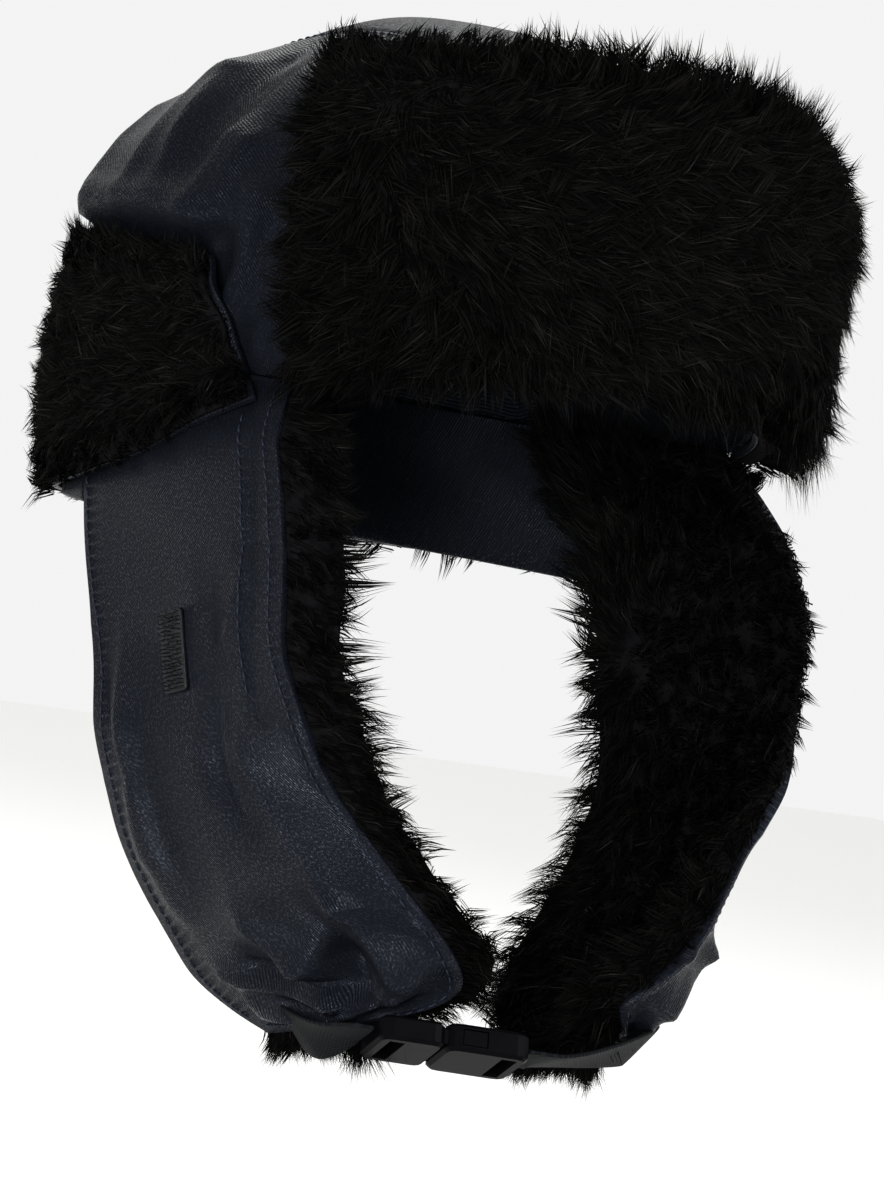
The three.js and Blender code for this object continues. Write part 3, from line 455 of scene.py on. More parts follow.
def lengths_over(grid):
    """Length along each row and each column up to every point of a grid, in metres."""
    across = np.linalg.norm(np.diff(grid, axis=1), axis=-1)
    down = np.linalg.norm(np.diff(grid, axis=0), axis=-1)
    x = np.concatenate([np.zeros((len(grid), 1)), np.cumsum(across, 1)], 1)
    y = np.concatenate([np.zeros((1, grid.shape[1])), np.cumsum(down, 0)], 0)
    x = x - x[:, x.shape[1] // 2][:, None]
    return np.stack([x, y], -1) * 0.001


def cloth_wall(name, node, outer, inner, material, hem=0.8):
    """Closed cloth between an outer and an inner grid, its hem rounded by a bevel. Its weave map
    holds the lengths that its outer face has along its rows and columns."""
    points, faces = closed_grids(outer, inner)
    made = mesh_object(name, points, faces, material)
    spread = lengths_over(outer)
    put_map(made, "weave", np.concatenate([spread.reshape(-1, 2)] * 2))
    bevel = made.modifiers.new("hem", "BEVEL")
    bevel.width = hem * 0.001
    bevel.segments = 3
    bevel.limit_method = "ANGLE"
    bevel.angle_limit = math.radians(55)
    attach(made, "root")
    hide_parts(node)


def shares(columns, rows):
    """Shares across and down for a grid of that many steps."""
    return np.meshgrid(np.linspace(0, 1, columns + 1), np.linspace(0, 1, rows + 1))


def ripples(p, size, seed):
    """Soft uneven swell of worn cloth: eight sine waves in random directions, each about as long
    as the size, added up and brought to a height of about one."""
    rng = np.random.default_rng(seed)
    ways = unit(rng.normal(size=(8, 3))) * (2 * np.pi / (size * rng.uniform(0.7, 1.5, (8, 1))))
    return np.sin(p @ ways.T + rng.uniform(0, 2 * np.pi, 8)).sum(-1) / 4


def creases(u, v, rows, wide, long):
    """Height of creases: for each line the crest falls off with the power 1.4 of the distance from
    it, measured in millimetres on a piece that is so wide and so long."""
    p = np.stack([u * wide, v * long], -1)
    total = np.zeros(u.shape)
    for u0, v0, u1, v1, width, height in rows:
        a, b = np.array([u0 * wide, v0 * long]), np.array([u1 * wide, v1 * long])
        total = total + height * np.exp(-(from_segment(p, a, b) / width) ** 1.4)
    return total


# %% [markdown]
# ## Finishes
# Each finish starts from what the real one is made of. Colours are given as screen hex values and
# turned to the linear values that light is reckoned in. One small function adds a node, sets what
# is fixed on its sockets and links the rest.

# %% Colour and node helpers
def linear(hex_colour):
    """Linear red, green and blue of an sRGB hex colour: below 0.04 a straight line, above it a
    power of 2.4."""
    c = np.array([int(hex_colour[k:k + 2], 16) / 255 for k in (1, 3, 5)])
    c = np.where(c <= 0.04045, c / 12.92, ((c + 0.055) / 1.055) ** 2.4)
    return (*c, 1.0)


def add_node(tree, kind, sockets=None, **settings):
    """Node of a kind with its settings, whose sockets are set or linked by name or number."""
    made = tree.nodes.new(kind)
    for key, value in settings.items():
        setattr(made, key, value)
    for key, value in (sockets or {}).items():
        if isinstance(value, bpy.types.NodeSocket):
            tree.links.new(value, made.inputs[key])
        else:
            made.inputs[key].default_value = value
    return made


def new_finish(name, **fixed):
    """Empty material with its surface shader, whose fixed values are set by socket name."""
    made = bpy.data.materials.new(name)
    made.use_nodes = True
    shader = made.node_tree.nodes["Principled BSDF"]
    for key, value in fixed.items():
        shader.inputs[key.replace("_", " ")].default_value = value
    return made, made.node_tree, shader


def math_of(tree, operation, *values):
    """Number worked out from one or two others."""
    return add_node(tree, "ShaderNodeMath", dict(enumerate(values)), operation=operation).outputs[0]


def noise(tree, where, scale, detail):
    """Uneven number from 0 to 1 over a place or a map."""
    return add_node(tree, "ShaderNodeTexNoise",
                    {"Vector": where, "Scale": scale, "Detail": detail}).outputs[0]


def map_range(tree, value, *limits):
    """Number moved from one range, low and high, to another."""
    return add_node(tree, "ShaderNodeMapRange", {0: value, **dict(enumerate(limits, 1))}).outputs[0]


def set_surface(tree, shader, share, dark, light, height=None, strength=0.0, distance=0.0):
    """Base colour mixed from two hex colours by a share and, where there is a height, a bump of
    it with a strength and a distance in metres."""
    colour = add_node(tree, "ShaderNodeMix", {0: share, 6: linear(dark), 7: linear(light)},
                      data_type="RGBA")
    tree.links.new(colour.outputs[2], shader.inputs["Base Color"])
    if height is not None:
        bump = add_node(tree, "ShaderNodeBump",
                        {"Strength": strength, "Distance": distance, "Height": height})
        tree.links.new(bump.outputs[0], shader.inputs["Normal"])


# %% [markdown]
# ### Satin twill
# The shell is polyester satin twill: long floats of bright filament over a dark navy ground. Its
# ribs run on the slant. They are 0.45 mm apart on the real cloth, and are drawn 0.9 mm apart here,
# because finer ones would not show. Filaments of slightly different blue run along the warp, and
# single ones shine, which gives the folds their blue-grey sparkle. The crown has a duller copy of
# the same cloth, which is painted shade: it stands in for the dimmer light on the crown.

# %% Satin twill
TWILL_RIB, WEBBING_RIB, WEBBING_YARN = 0.0009, 0.0016, 0.0011  # metres apart


def satin_twill(name, dull, bright):
    """Twill whose specular level runs from its dull ground to its bright filament specks."""
    made, tree, shader = new_finish(name, IOR=1.5, Specular_Tint=linear("#d0dbf2"))
    weave = add_node(tree, "ShaderNodeUVMap", uv_map="weave")
    slant = add_node(tree, "ShaderNodeVectorMath", {0: weave.outputs[0], 1: (1.0, 0.62, 0)},
                     operation="DOT_PRODUCT")
    turns = math_of(tree, "MULTIPLY", slant.outputs["Value"], 2 * math.pi / TWILL_RIB)
    rib = math_of(tree, "SINE", turns)
    stretched = add_node(tree, "ShaderNodeVectorMath",
                         {0: weave.outputs[0], 1: (2400, 240, 1)}, operation="MULTIPLY")
    thread = noise(tree, stretched.outputs[0], 1.0, 3.0)
    cloud = noise(tree, weave.outputs[0], 45.0, 4.0)
    speck = noise(tree, weave.outputs[0], 1300.0, 2.0)
    height = math_of(tree, "ADD", math_of(tree, "MULTIPLY", thread, 1.6), rib)
    set_surface(tree, shader, thread, "#050609", "#0c0e13", height, 0.6, 0.00015)
    shade = map_range(tree, cloud, 0.3, 0.7, 0.24, 0.36)
    gloss = map_range(tree, speck, 0.5, 0.75, dull, bright)
    tree.links.new(shade, shader.inputs["Roughness"])
    tree.links.new(gloss, shader.inputs["Specular IOR Level"])
    return made


TWILL = satin_twill("satin_twill_flaps", 0.03, 0.24)
# The crown's copy has less gloss as painted shade for the dimmer light that falls on it.
CROWN_TWILL_PAINTED_SHADE = satin_twill("satin_twill_crown_painted_shade", 0.01, 0.12)

# %% [markdown]
# ### Faux fur
# The pile is acrylic fibre, dyed black and 9 to 13 mm long, matted in points. Some fibres are a
# warm grey-brown, at random, and every fibre is lighter towards its tip, which is a painted glint.
# A value stored on each hair says how much of both it has.
# The knitted ground under the pile is a dull black that only fills what shows between hairs.

# %% Faux fur
def fur_hair():
    """Hair that is browner and glossier the more of its stored value it has: a random tone of its
    own, raised towards the tip as a painted glint.
    """
    made, tree, shader = new_finish("faux_fur_acrylic_hair", Roughness=0.5, IOR=1.5)
    tone_and_glint = add_node(tree, "ShaderNodeAttribute", attribute_name="tone_and_glint").outputs["Fac"]
    set_surface(tree, shader, tone_and_glint, "#020202", "#100f0e")
    gloss = map_range(tree, tone_and_glint, 0.4, 1.0, 0.006, 0.05)
    tree.links.new(gloss, shader.inputs["Specular IOR Level"])
    return made


def fur_ground():
    """Dull black ground with a tufty grain."""
    made, tree, shader = new_finish("faux_fur_knitted_ground", Roughness=0.95, IOR=1.5,
                                    Specular_IOR_Level=0.015)
    where = add_node(tree, "ShaderNodeTexCoord")
    tufty = noise(tree, where.outputs["Object"], 420.0, 4.0)
    set_surface(tree, shader, tufty, "#020203", "#0c0c0d", tufty, 0.7, 0.0012)
    return made


HAIR, GROUND = fur_hair(), fur_ground()

# %% [markdown]
# ### Webbing, thread, hook tape and plastic
# The strap is polypropylene webbing, whose ribs lie across it about every 1.6 mm. The thread is
# polyester and a shade lighter than the cloth. The hook tape is stiff nylon. The buckle is acetal
# plastic from a polished mould, so it is black and glossy with a very faint ripple.

# %% Webbing, thread, hook tape and plastic
def woven_webbing():
    """Webbing with ribs across it and yarns along it, from its map in metres."""
    made, tree, shader = new_finish("webbing_polypropylene", Roughness=0.6, IOR=1.49,
                                    Specular_IOR_Level=0.03)
    weave = add_node(tree, "ShaderNodeUVMap", uv_map="weave")
    parts = add_node(tree, "ShaderNodeSeparateXYZ", {0: weave.outputs[0]})
    waves = [math_of(tree, "SINE", math_of(tree, "MULTIPLY", parts.outputs[k], 2 * math.pi / apart))
             for k, apart in ((1, WEBBING_RIB), (0, WEBBING_YARN))]
    height = math_of(tree, "MULTIPLY", *waves)
    set_surface(tree, shader, height, "#040506", "#0b0c10", height, 0.6, 0.0003)
    return made


def plain_grain(name, dark, light, roughness, grain_mm, depth_mm, **fixed):
    """Finish with a fine grain: noise of a grain size in millimetres mixes two close colours and
    lifts the surface by a depth in millimetres."""
    made, tree, shader = new_finish(name, Roughness=roughness, **fixed)
    where = add_node(tree, "ShaderNodeTexCoord")
    grain = noise(tree, where.outputs["Object"], 1000.0 / grain_mm, 3.0)
    set_surface(tree, shader, grain, dark, light, grain, 0.5, depth_mm * 0.001)
    return made


WEBBING = woven_webbing()
THREAD = plain_grain("thread_polyester", "#070a10", "#121723", 0.5, 0.4, 0.05, IOR=1.5,
                     Specular_IOR_Level=0.1)
HOOKS = plain_grain("hook_tape_nylon", "#020303", "#0e1014", 0.4, 0.7, 0.5, IOR=1.53,
                    Specular_IOR_Level=0.08)
PLASTIC = plain_grain("buckle_acetal_moulded", "#020203", "#050506", 0.34, 6.0, 0.05, IOR=1.48,
                      Specular_IOR_Level=0.01)
print("finishes:", [m.name for m in (TWILL, CROWN_TWILL_PAINTED_SHADE, HAIR, GROUND)])
print("and:", [m.name for m in (WEBBING, THREAD, HOOKS, PLASTIC)])

# %% [markdown]
# ## The crown
# The crown is a long centre strip from front to back with a panel on each side. The loose cloth
# swells between the seams and hangs in a few pulled folds above the cuff. A simulation would find
# folds of its own, so these are drawn as lines instead, from where they show, and each crest
# falls off smoothly on both sides.

# %% The crown's cloth
SIDE_WIDE, SIDE_LONG, STRIP_LONG, WRINKLE = 140, 290, 300, 42  # millimetres
SIDE_CREASES = [  # across, down, end across, end down, width and height in millimetres
    (0.27, 0.56, 0.53, 0.53, 5.0, 3.1), (0.47, 0.455, 0.60, 0.45, 4.5, 2.9),
    (0.57, 0.41, 0.83, 0.405, 4.5, 3.4), (0.60, 0.59, 0.635, 0.45, 5.5, 3.6),
    (0.33, 0.50, 0.50, 0.49, 5.0, -2.3), (0.66, 0.44, 0.86, 0.435, 4.5, -2.3),
    (0.88, 0.365, 0.99, 0.345, 3.0, 2.1), (0.90, 0.335, 0.99, 0.315, 3.0, 2.0),
    (0.90, 0.395, 0.99, 0.375, 3.0, 1.7), (0.30, 0.66, 0.58, 0.68, 6.0, 2.6),
    (0.55, 0.75, 0.60, 0.62, 6.0, 2.9), (0.35, 0.80, 0.55, 0.84, 6.0, -2.1),
    (0.12, 0.62, 0.26, 0.57, 5.0, 1.6), (0.45, 0.35, 0.72, 0.33, 5.0, 2.1)]


def panel_relief(way, swell, lines, long, seed, held_u, u, v):
    """Height of a crown panel's creases and ripples, held down to nothing at its edges."""
    held = np.sin(np.pi * np.clip(held_u, 0, 1)) ** 0.5 * ramp(v, 0, 0.04) * ramp(1 - v, 0, 0.04)
    flat = panel_point(way, swell, u, v, 0 * u)
    return held * (0.55 * ripples(flat, WRINKLE, seed) + creases(u, v, lines, SIDE_WIDE, long))


def panel_outside(way, swell, lines, long, seed):
    """A crown panel's finished outer face as a surface with a height above it."""
    def surface(u, v, lift):
        relief = panel_relief(way, swell, lines, long, seed, u, u, v)
        return panel_point(way, swell, u, v, -relief - lift)
    return surface


def crown_panel(name, node, way, swell, columns, rows, lines, long, seed, lap):
    """Fine cloth of a crown panel: the panel's surface, moved out by creases and by ripples. At its
    seams it is wider by two small shares, so that the seams close."""
    share, v = shares(columns, rows)
    u = (1 + sum(lap)) * share - lap[0]
    relief = panel_relief(way, swell, lines, long, seed, share, u, v)
    outer = panel_point(way, swell, u, v, -relief)
    inner = panel_point(way, swell, u, v, CLOTH_WALL - 0.9 * relief)
    # The crown's cloth takes the duller copy of the twill, which is painted shade.
    cloth_wall(name, node, outer, inner, CROWN_TWILL_PAINTED_SHADE, hem=0.3)


def side_panel(side):
    """Directions and swell of a side panel."""
    return lambda u, v: side_way(u, v, side), lambda share: pillow(0.5 * share)


crown_panel("crown_strip_cloth", "crown_centre_strip", strip_way, pillow, 36, 150,
            [(0.1, 0.62, 0.7, 0.55, 5, 1.4), (0.9, 0.7, 0.4, 0.64, 5, 1.2)], STRIP_LONG, 3,
            (0.012, 0.012))
for name, side in (("right", 1), ("left", -1)):
    crown_panel(f"crown_side_cloth_{name}", f"crown_side_panel_{name}", *side_panel(side), 60, 150,
                SIDE_CREASES, SIDE_LONG, 5 + side, (0.006, 0))

# %% [markdown]
# ## The front flap, the cuff and the neck band
# The turned-up pieces are cloth outside and fur inside, so once they are turned up the cloth faces
# the crown and only its hem shows beside the fur. The neck band joins the ear flaps' back edges.

# %% Cloth of the front flap, the cuff and the neck band
u, v = shares(90, 16)
cloth_wall("front_flap_cloth", "front_flap_shell", front_flap_point(u, v, CLOTH_WALL),
           front_flap_point(u, v, 0.0), TWILL)
u, v = shares(140, 20)
cloth_wall("back_cuff_cloth", "back_cuff_shell", cuff_point(u, v, CLOTH_WALL),
           cuff_point(u, v, 0.0), TWILL)
u, v = shares(100, 14)
cloth_wall("neck_band_cloth", "neck_band", neck_point(u, v, 0.0), neck_point(u, v, -CLOTH_WALL),
           TWILL)

# %% [markdown]
# ## The ear flaps
# The ear flaps hang from the rim and taper to the strap. The buckled strap pulls their lower
# corners together, so sharp tucks fan out from it, and a seam with a row of stitches runs down near
# the front edge. The same surface carries the patch, the stitches and the fur inside.

# %% Cloth of the ear flaps
EAR_WIDE, EAR_LONG, EAR_WRINKLE = 78, 172, 38  # millimetres
EAR_CREASES = [  # across, down, end across, end down, width and height in millimetres
    (0.26, 0.62, 0.47, 0.735, 3.2, 3.4), (0.26, 0.62, 0.22, 0.73, 3.0, 3.2),
    (0.36, 0.72, 0.33, 0.66, 4.0, -2.8), (0.61, 0.69, 0.50, 0.735, 4.0, 3.4),
    (0.79, 0.80, 0.40, 0.835, 4.0, 3.8), (0.66, 0.77, 0.42, 0.785, 3.0, -3.0),
    (0.70, 0.90, 0.40, 0.90, 4.0, 3.0), (0.12, 0.70, 0.22, 0.80, 3.5, 2.6),
    (0.34, 0.36, 0.14, 0.28, 4.0, 1.5), (0.30, 0.44, 0.26, 0.58, 5.0, 1.0),
    (0.82, 0.44, 0.88, 0.60, 5.0, 1.6), (0.93, 0.40, 0.86, 0.50, 4.0, -1.4),
    (0.55, 0.50, 0.62, 0.66, 7.0, 0.9), (0.10, 0.13, 0.125, 0.29, 1.6, -0.9),
    (0.125, 0.29, 0.175, 0.40, 1.6, -0.9), (0.0, 0.233, 0.155, 0.24, 1.6, -0.8),
    (0.60, 0.05, 0.50, 0.16, 6.0, 1.0), (0.30, 0.04, 0.34, 0.15, 6.0, 0.9),
    (0.022, 0.40, 0.022, 0.64, 1.5, 1.1), (0.022, 0.64, 0.04, 0.9, 1.5, 1.3)]


def ear_relief(u, v, side):
    """Height of an ear flap's fine folds and swell, held down to nothing at its upper edge."""
    swell = 0.5 * ripples(ear_point(side, u, v, 0.0), EAR_WRINKLE, 40 + side)
    edge = 0.7 * np.sin(26 * v + 3 * side) * np.exp(-u * 60 / 6) * ramp(v, 0.3, 0.5)
    return ramp(v, 0.01, 0.06) * (swell + edge + creases(u, v, EAR_CREASES, EAR_WIDE, EAR_LONG))


def ear_outside(side, u, v, lift):
    """Point over an ear flap's finished outside, at a height above the cloth."""
    return ear_point(side, u, v, lift + ear_relief(u, v, side))


for name, side in (("right", 1), ("left", -1)):
    u, v = shares(66, 132)
    cloth_wall(f"ear_flap_cloth_{name}", f"ear_flap_shell_{name}", ear_outside(side, u, v, 0.0),
               ear_point(side, u, v, -CLOTH_WALL), TWILL)

# %% [markdown]
# ## Faux fur
# Real pile stands in matted points: a few dozen fibres share a tip and lie over the next point, as
# slates do. A particle system would not survive the export, so each fibre is a thin ribbon of two
# faces. Points are placed first. Each has a root on the pile's ground, a way that it is combed and
# a tip, and its fibres start round the root and draw together towards the tip. A closed dark
# ground fills what shows between them.

# %% Hairs from points
FLAP_SUNK, CUFF_SUNK, LINING_SUNK = 0.6, 0.42, 0.55  # shares of the pile below the roots


def combed_points(name, surface, uv, comb, long, lean, seed, per_point=20, spread=3.2, width=0.38,
                  sunk=2.0, stray=0.38):
    """Ribbons for all fibres. surface(u, v, d) gives the ground and the heights above it, uv the
    points' places, comb their way in shares, and lean how far they stand up, in degrees. A fibre
    is two straight spans, the second laid 30 degrees flatter, and its ribbon narrows to its tip.
    Some points are drawn tightly together and others stay loose."""
    rng = np.random.default_rng(seed)
    u, v = uv[:, 0], uv[:, 1]
    step = 0.02
    root = surface(u, v, 0.0 * u)
    out = unit(surface(u, v, 0.0 * u + 1) - root)
    ahead = surface(u + step * comb[:, 0], v + step * comb[:, 1], 0.0 * u)
    behind = surface(u - step * comb[:, 0], v - step * comb[:, 1], 0.0 * u)
    way = unit(ahead - behind)
    way = unit(way - out * (way * out).sum(-1, keepdims=True))
    side = np.cross(out, way)
    turn = rng.normal(0, stray, len(u))[:, None]
    way, side = way * np.cos(turn) + side * np.sin(turn), side * np.cos(turn) - way * np.sin(turn)
    stand = np.radians(np.maximum(2, lean + rng.normal(0, 9, len(u))))
    length = long * rng.uniform(0.7, 1.25, len(u))
    drawn = rng.uniform(0.1, 0.85, (len(u), 1, 1))

    shape = (len(u), per_point)
    angle = rng.uniform(0, 2 * np.pi, shape)
    reach = spread * np.sqrt(rng.uniform(0, 1, shape))
    offset = (way[:, None] * (reach * np.cos(angle))[..., None]
              + side[:, None] * (reach * np.sin(angle))[..., None])
    own = (length[:, None] * rng.uniform(0.55, 1.08, shape))[..., None]
    bend = np.radians(30)

    def toward(raise_by):
        a = (stand[:, None] + raise_by + rng.normal(0, 0.06, shape))[..., None]
        return way[:, None] * np.cos(a) + out[:, None] * np.sin(a)

    start = root[:, None] + offset - out[:, None] * sunk
    middle = start + out[:, None] * sunk * 0.6 + own * 0.5 * toward(bend) - 0.3 * drawn * offset
    tip = middle + own * 0.52 * toward(0.0) - 0.62 * drawn * offset
    roll = rng.uniform(-0.9, 0.9, shape)[..., None]
    run = unit(tip - start)
    face = np.broadcast_to(out[:, None], run.shape)
    flat = unit(np.cross(run, face))
    flat = flat * np.cos(roll) + np.cross(run, flat) * np.sin(roll)
    half = 0.5 * width * rng.uniform(0.6, 1.3, shape)[..., None] * flat
    points = np.stack([start - half, start + half, middle - half * 0.8, middle + half * 0.8, tip],
                      axis=2)
    count = len(u) * per_point
    base = (np.arange(count) * 5)[:, None]
    made = mesh_object(name, points, [base + [0, 1, 3, 2], base + [2, 3, 4]], HAIR)
    # Random tone of each fibre and point; along raises it towards the tip, which is a painted
    # glint.
    tone_and_glint = rng.uniform(0, 1, shape) ** 3 * 0.8 + (rng.uniform(0, 1, len(u)) ** 4 * 0.4)[:, None]
    along = np.array([0.2, 0.2, 0.7, 0.7, 1.0])
    values = np.clip(tone_and_glint[..., None] * along, 0, 1)
    layer = made.data.attributes.new("tone_and_glint", "FLOAT", "POINT")
    layer.data.foreach_set("value", values.astype(np.float32).ravel())
    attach(made, "root")
    print(f"{name}: {count} hairs, {count * 3} triangles")


def even_places(columns, rows, seed, edge=0.01):
    """Places in a grid of shares, each moved at random inside its own cell."""
    rng = np.random.default_rng(seed)
    i, j = np.meshgrid(np.arange(columns), np.arange(rows))
    uv = np.stack([(i + rng.uniform(0, 1, i.shape)) / columns,
                   (j + rng.uniform(0, 1, j.shape)) / rows], -1).reshape(-1, 2)
    return np.clip(uv, edge, 1 - edge)


def swirl(uv, seed, amount):
    """Unit ways in shares, turned by soft waves so that no stretch of fur lies quite alike."""
    rng = np.random.default_rng(seed)
    waves = rng.normal(0, 7, (5, 2))
    return amount * np.sin(uv @ waves.T + rng.uniform(0, 6.3, 5)).sum(-1)


def pile_share(u, v):
    """Height of the pile: full in the middle and rounded to half at the edges."""
    edge = np.maximum(np.abs(2 * u - 1), np.abs(2 * v - 1))
    return 0.5 + 0.5 * np.sqrt(np.maximum(0, 1 - np.minimum(edge, 1) ** 6))


def pile_ground(name, node, near, far):
    """Closed dark ground of a fur piece, between its backing and its tufts' roots. It stands for
    the fur's solid."""
    made = mesh_object(name, *closed_grids(far, near), GROUND)
    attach(made, "root")
    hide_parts(node)


# %% [markdown]
# ### Fur of the front flap
# The front flap has the longest pile. It is combed up at its top edge, down at the forehead and
# sideways at its ends, so it hides the flap's hem on every side and breaks up the outline.

# %% Fur of the front flap
FLAP_START = CLOTH_WALL + GAP


def flap_ground(u, v, d):
    """Ground of the front flap's pile, and the heights above it."""
    return front_flap_point(u, v, FLAP_START + FLAP_SUNK * FLAP_PILE * pile_share(u, v) + d)


u, v = shares(90, 30)
pile_ground("front_flap_fur_ground", "front_flap_fur", front_flap_point(u, v, FLAP_START),
            flap_ground(u, v, 0.0))


def fallen_comb(uv, seed, across, part_at):
    """Ways that lie down most of the piece and turn up over its top edge, spread a little towards
    the ends, and are turned by the swirl."""
    rise = 2 * ramp(uv[:, 1], part_at - 0.18, part_at + 0.18) - 1
    way = np.stack([across * (2 * uv[:, 0] - 1) ** 3 + 0.25, rise], -1)
    a = swirl(uv, seed, 0.5)
    c, s = np.cos(a), np.sin(a)
    way = unit(way + 1e-4)
    return np.stack([way[:, 0] * c - way[:, 1] * s, way[:, 0] * s + way[:, 1] * c], -1)


for part, seed in (("under", 101), ("over", 102)):
    places = even_places(70, 30, seed)
    comb = fallen_comb(places, 9, 0.8, 0.86)
    near_top = ramp(places[:, 1], 0.7, 0.9) * (1 - ramp(places[:, 0], 0.1, 0.35))
    far = ramp(places[:, 0], 0.72, 0.92)
    low = 1 - ramp(places[:, 1], 0.1, 0.4)
    long = 11.0 if part == "under" else 12.5
    long = long * (1 - 0.45 * near_top + far * (0.7 * low - 0.4 * (1 - low)))
    combed_points(f"front_flap_fur_hair_{part}", flap_ground, places, comb, long, 13, seed,
                  per_point=16 if part == "under" else 20, stray=0.6)

# %% [markdown]
# ### Fur of the cuff
# The cuff's pile is shorter and lies closer, and it is combed backwards and outwards.

# %% Fur of the cuff
def cuff_ground(u, v, d):
    """Ground of the cuff's pile, a hem's width inside the cloth's ends."""
    u = CUFF_HEM + (1 - 2 * CUFF_HEM) * np.clip(u, 0, 1)
    v = np.asarray(v, float)
    return cuff_point(u, v, CLOTH_WALL + GAP + CUFF_SUNK * CUFF_PILE * pile_share(u, v) + d)


u, v = shares(140, 24)
hemmed = CUFF_HEM + (1 - 2 * CUFF_HEM) * u
pile_ground("back_cuff_fur_ground", "back_cuff_fur",
            cuff_point(hemmed, v, CLOTH_WALL + GAP), cuff_ground(u, v, 0.0))
for part, seed in (("under", 111), ("over", 112)):
    places = even_places(100, 16, seed)
    comb = fallen_comb(places, 19, 0.3, 0.8)
    combed_points(f"back_cuff_fur_hair_{part}", cuff_ground, places, comb, 9, 9, seed,
                  per_point=17, spread=2.8, stray=0.6)

# %% [markdown]
# ### Fur inside the ear flaps
# The lining shows along the face opening, where its tufts reach past the cloth's front edge. Each
# flap has one ground and one set of hairs, which is the same pile mirrored.

# %% Fur of the ear flaps
def lining_ground(side):
    """Ground of a flap's lining: inside the cloth by its wall and half the pile, and drawn forward
    at the front edge."""
    def surface(u, v, d):
        forward = u - LINING_REACH * (1 - u) ** 3
        pile = LINING_SUNK * LINING_PILE * pile_share(0.5 + 0.5 * u, v)
        return ear_point(side, forward, v, -CLOTH_WALL - GAP - pile - d)
    return surface


def lining_edge(side):
    """Front edge of a flap's lining, from the cloth inwards, and the heights ahead of it."""
    def surface(a, v, d):
        pile = LINING_SUNK * LINING_PILE * pile_share(0.5 + 0 * v, v)
        return ear_point(side, -LINING_REACH * a - d / EAR_WIDE, v, -CLOTH_WALL - GAP - pile * a)
    return surface


def lining_foot(side):
    """Bottom edge of a flap's lining, from front to back and from the cloth inwards, and the
    heights straight below it."""
    def surface(u, a, d):
        pile = LINING_SUNK * LINING_PILE * pile_share(0.5 + 0.5 * u, 1 + 0 * u)
        forward = u - LINING_REACH * (1 - u) ** 3
        edge = ear_point(side, forward, 0.995 + 0 * u, -CLOTH_WALL - GAP - pile * a)
        return edge + (d + 0 * u)[..., None] * np.array([0, 0, -1.0])
    return surface


for name, side in (("right", 1), ("left", -1)):
    u, v = shares(32, 64)
    surface = lining_ground(side)
    pile_ground(f"ear_flap_fur_ground_{name}", f"ear_flap_lining_{name}",
                ear_point(side, u, v, -CLOTH_WALL - GAP), surface(u, v, 0.0))
    places = even_places(36, 52, 121 + side)
    across = 1.6 * places[:, 0] - 1.2
    down = 1.3 * (places[:, 1] - 0.3)
    comb = unit(np.stack([across, down], -1) + 1e-4)
    combed_points(f"ear_flap_fur_hair_{name}", surface, places, comb, 12.5, 14, 131 + side,
                  per_point=18, stray=0.5)
    places = even_places(4, 80, 141 + side)
    comb = np.stack([0.6 + 0 * places[:, 0], 0.8 * (places[:, 1] - 0.1)], -1)
    long = 7.5 * (1 + 1.2 * ramp(places[:, 1], 0.76, 0.94))
    combed_points(f"ear_flap_fur_edge_{name}", lining_edge(side), places, comb, long, 38,
                  151 + side, spread=2.2, stray=0.8)
    places = even_places(44, 5, 161 + side)
    comb = np.stack([0.5 * (2 * places[:, 0] - 1), 0.2 + 0 * places[:, 0]], -1)
    long = 11 * (1.4 - 0.4 * ramp(places[:, 0], 0.05, 0.35))
    combed_points(f"ear_flap_fur_foot_{name}", lining_foot(side), places, comb, long, 58,
                  171 + side, spread=2.4, stray=0.9)

# %% [markdown]
# ## Hook tape
# Each ear flap has a small rectangle of hook tape that holds it when it is turned up. The tape is a
# thin pad with rounded corners, and rows of little bent hooks stand on it. One hook is worked out
# and copied to every place as arrays. The patch's solid says where it goes.

# %% Hook tape
TAPE_WIDE, TAPE_LONG, TAPE_THICK = 9.5, 22.0, 1.6


def tape_frame(side):
    """Middle of the patch's underside and its ways across, down and out, as the solid has them."""
    at = lambda a, b: ear_point(side, np.array(a), np.array(b), np.array(0.0))
    u0, v0 = 0.5, 0.355
    down = unit(at(u0 + 0.03, v0 + 0.1) - at(u0 - 0.03, v0 - 0.1))
    across = at(u0 + 0.1, v0) - at(u0 - 0.1, v0)
    out = unit(np.cross(across, down))
    out = -out if out[0] * side > 0 else out
    across = np.cross(down, out)
    low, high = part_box("hook_patch_right" if side > 0 else "hook_patch_left")
    middle = (np.array(low) + np.array(high)) / 2 * 1000
    return middle - out * TAPE_THICK / 2, across, down, out


def rounded_slab(wide, long, thick, corner, steps=6):
    """Closed slab with rounded corners and a soft top edge: rings of a rounded rectangle that
    shrink as they rise, and a point in the middle of each end."""
    a = np.linspace(0, 2 * np.pi, 4 * steps, endpoint=False) + np.pi / (4 * steps)
    cx = np.sign(np.cos(a)) * (wide / 2 - corner)
    cy = np.sign(np.sin(a)) * (long / 2 - corner)
    rings = []
    for height, inset in ((0.0, 0.0), (0.72 * thick, 0.0), (0.93 * thick, 0.12), (thick, 0.4)):
        r = corner - inset
        rings.append(np.stack([cx + r * np.cos(a), cy + r * np.sin(a), 0 * a + height], -1))
    points = np.concatenate(rings + [np.array([[0, 0, 0.0], [0, 0, thick]])])
    return points, *ring_faces(len(rings), len(a))


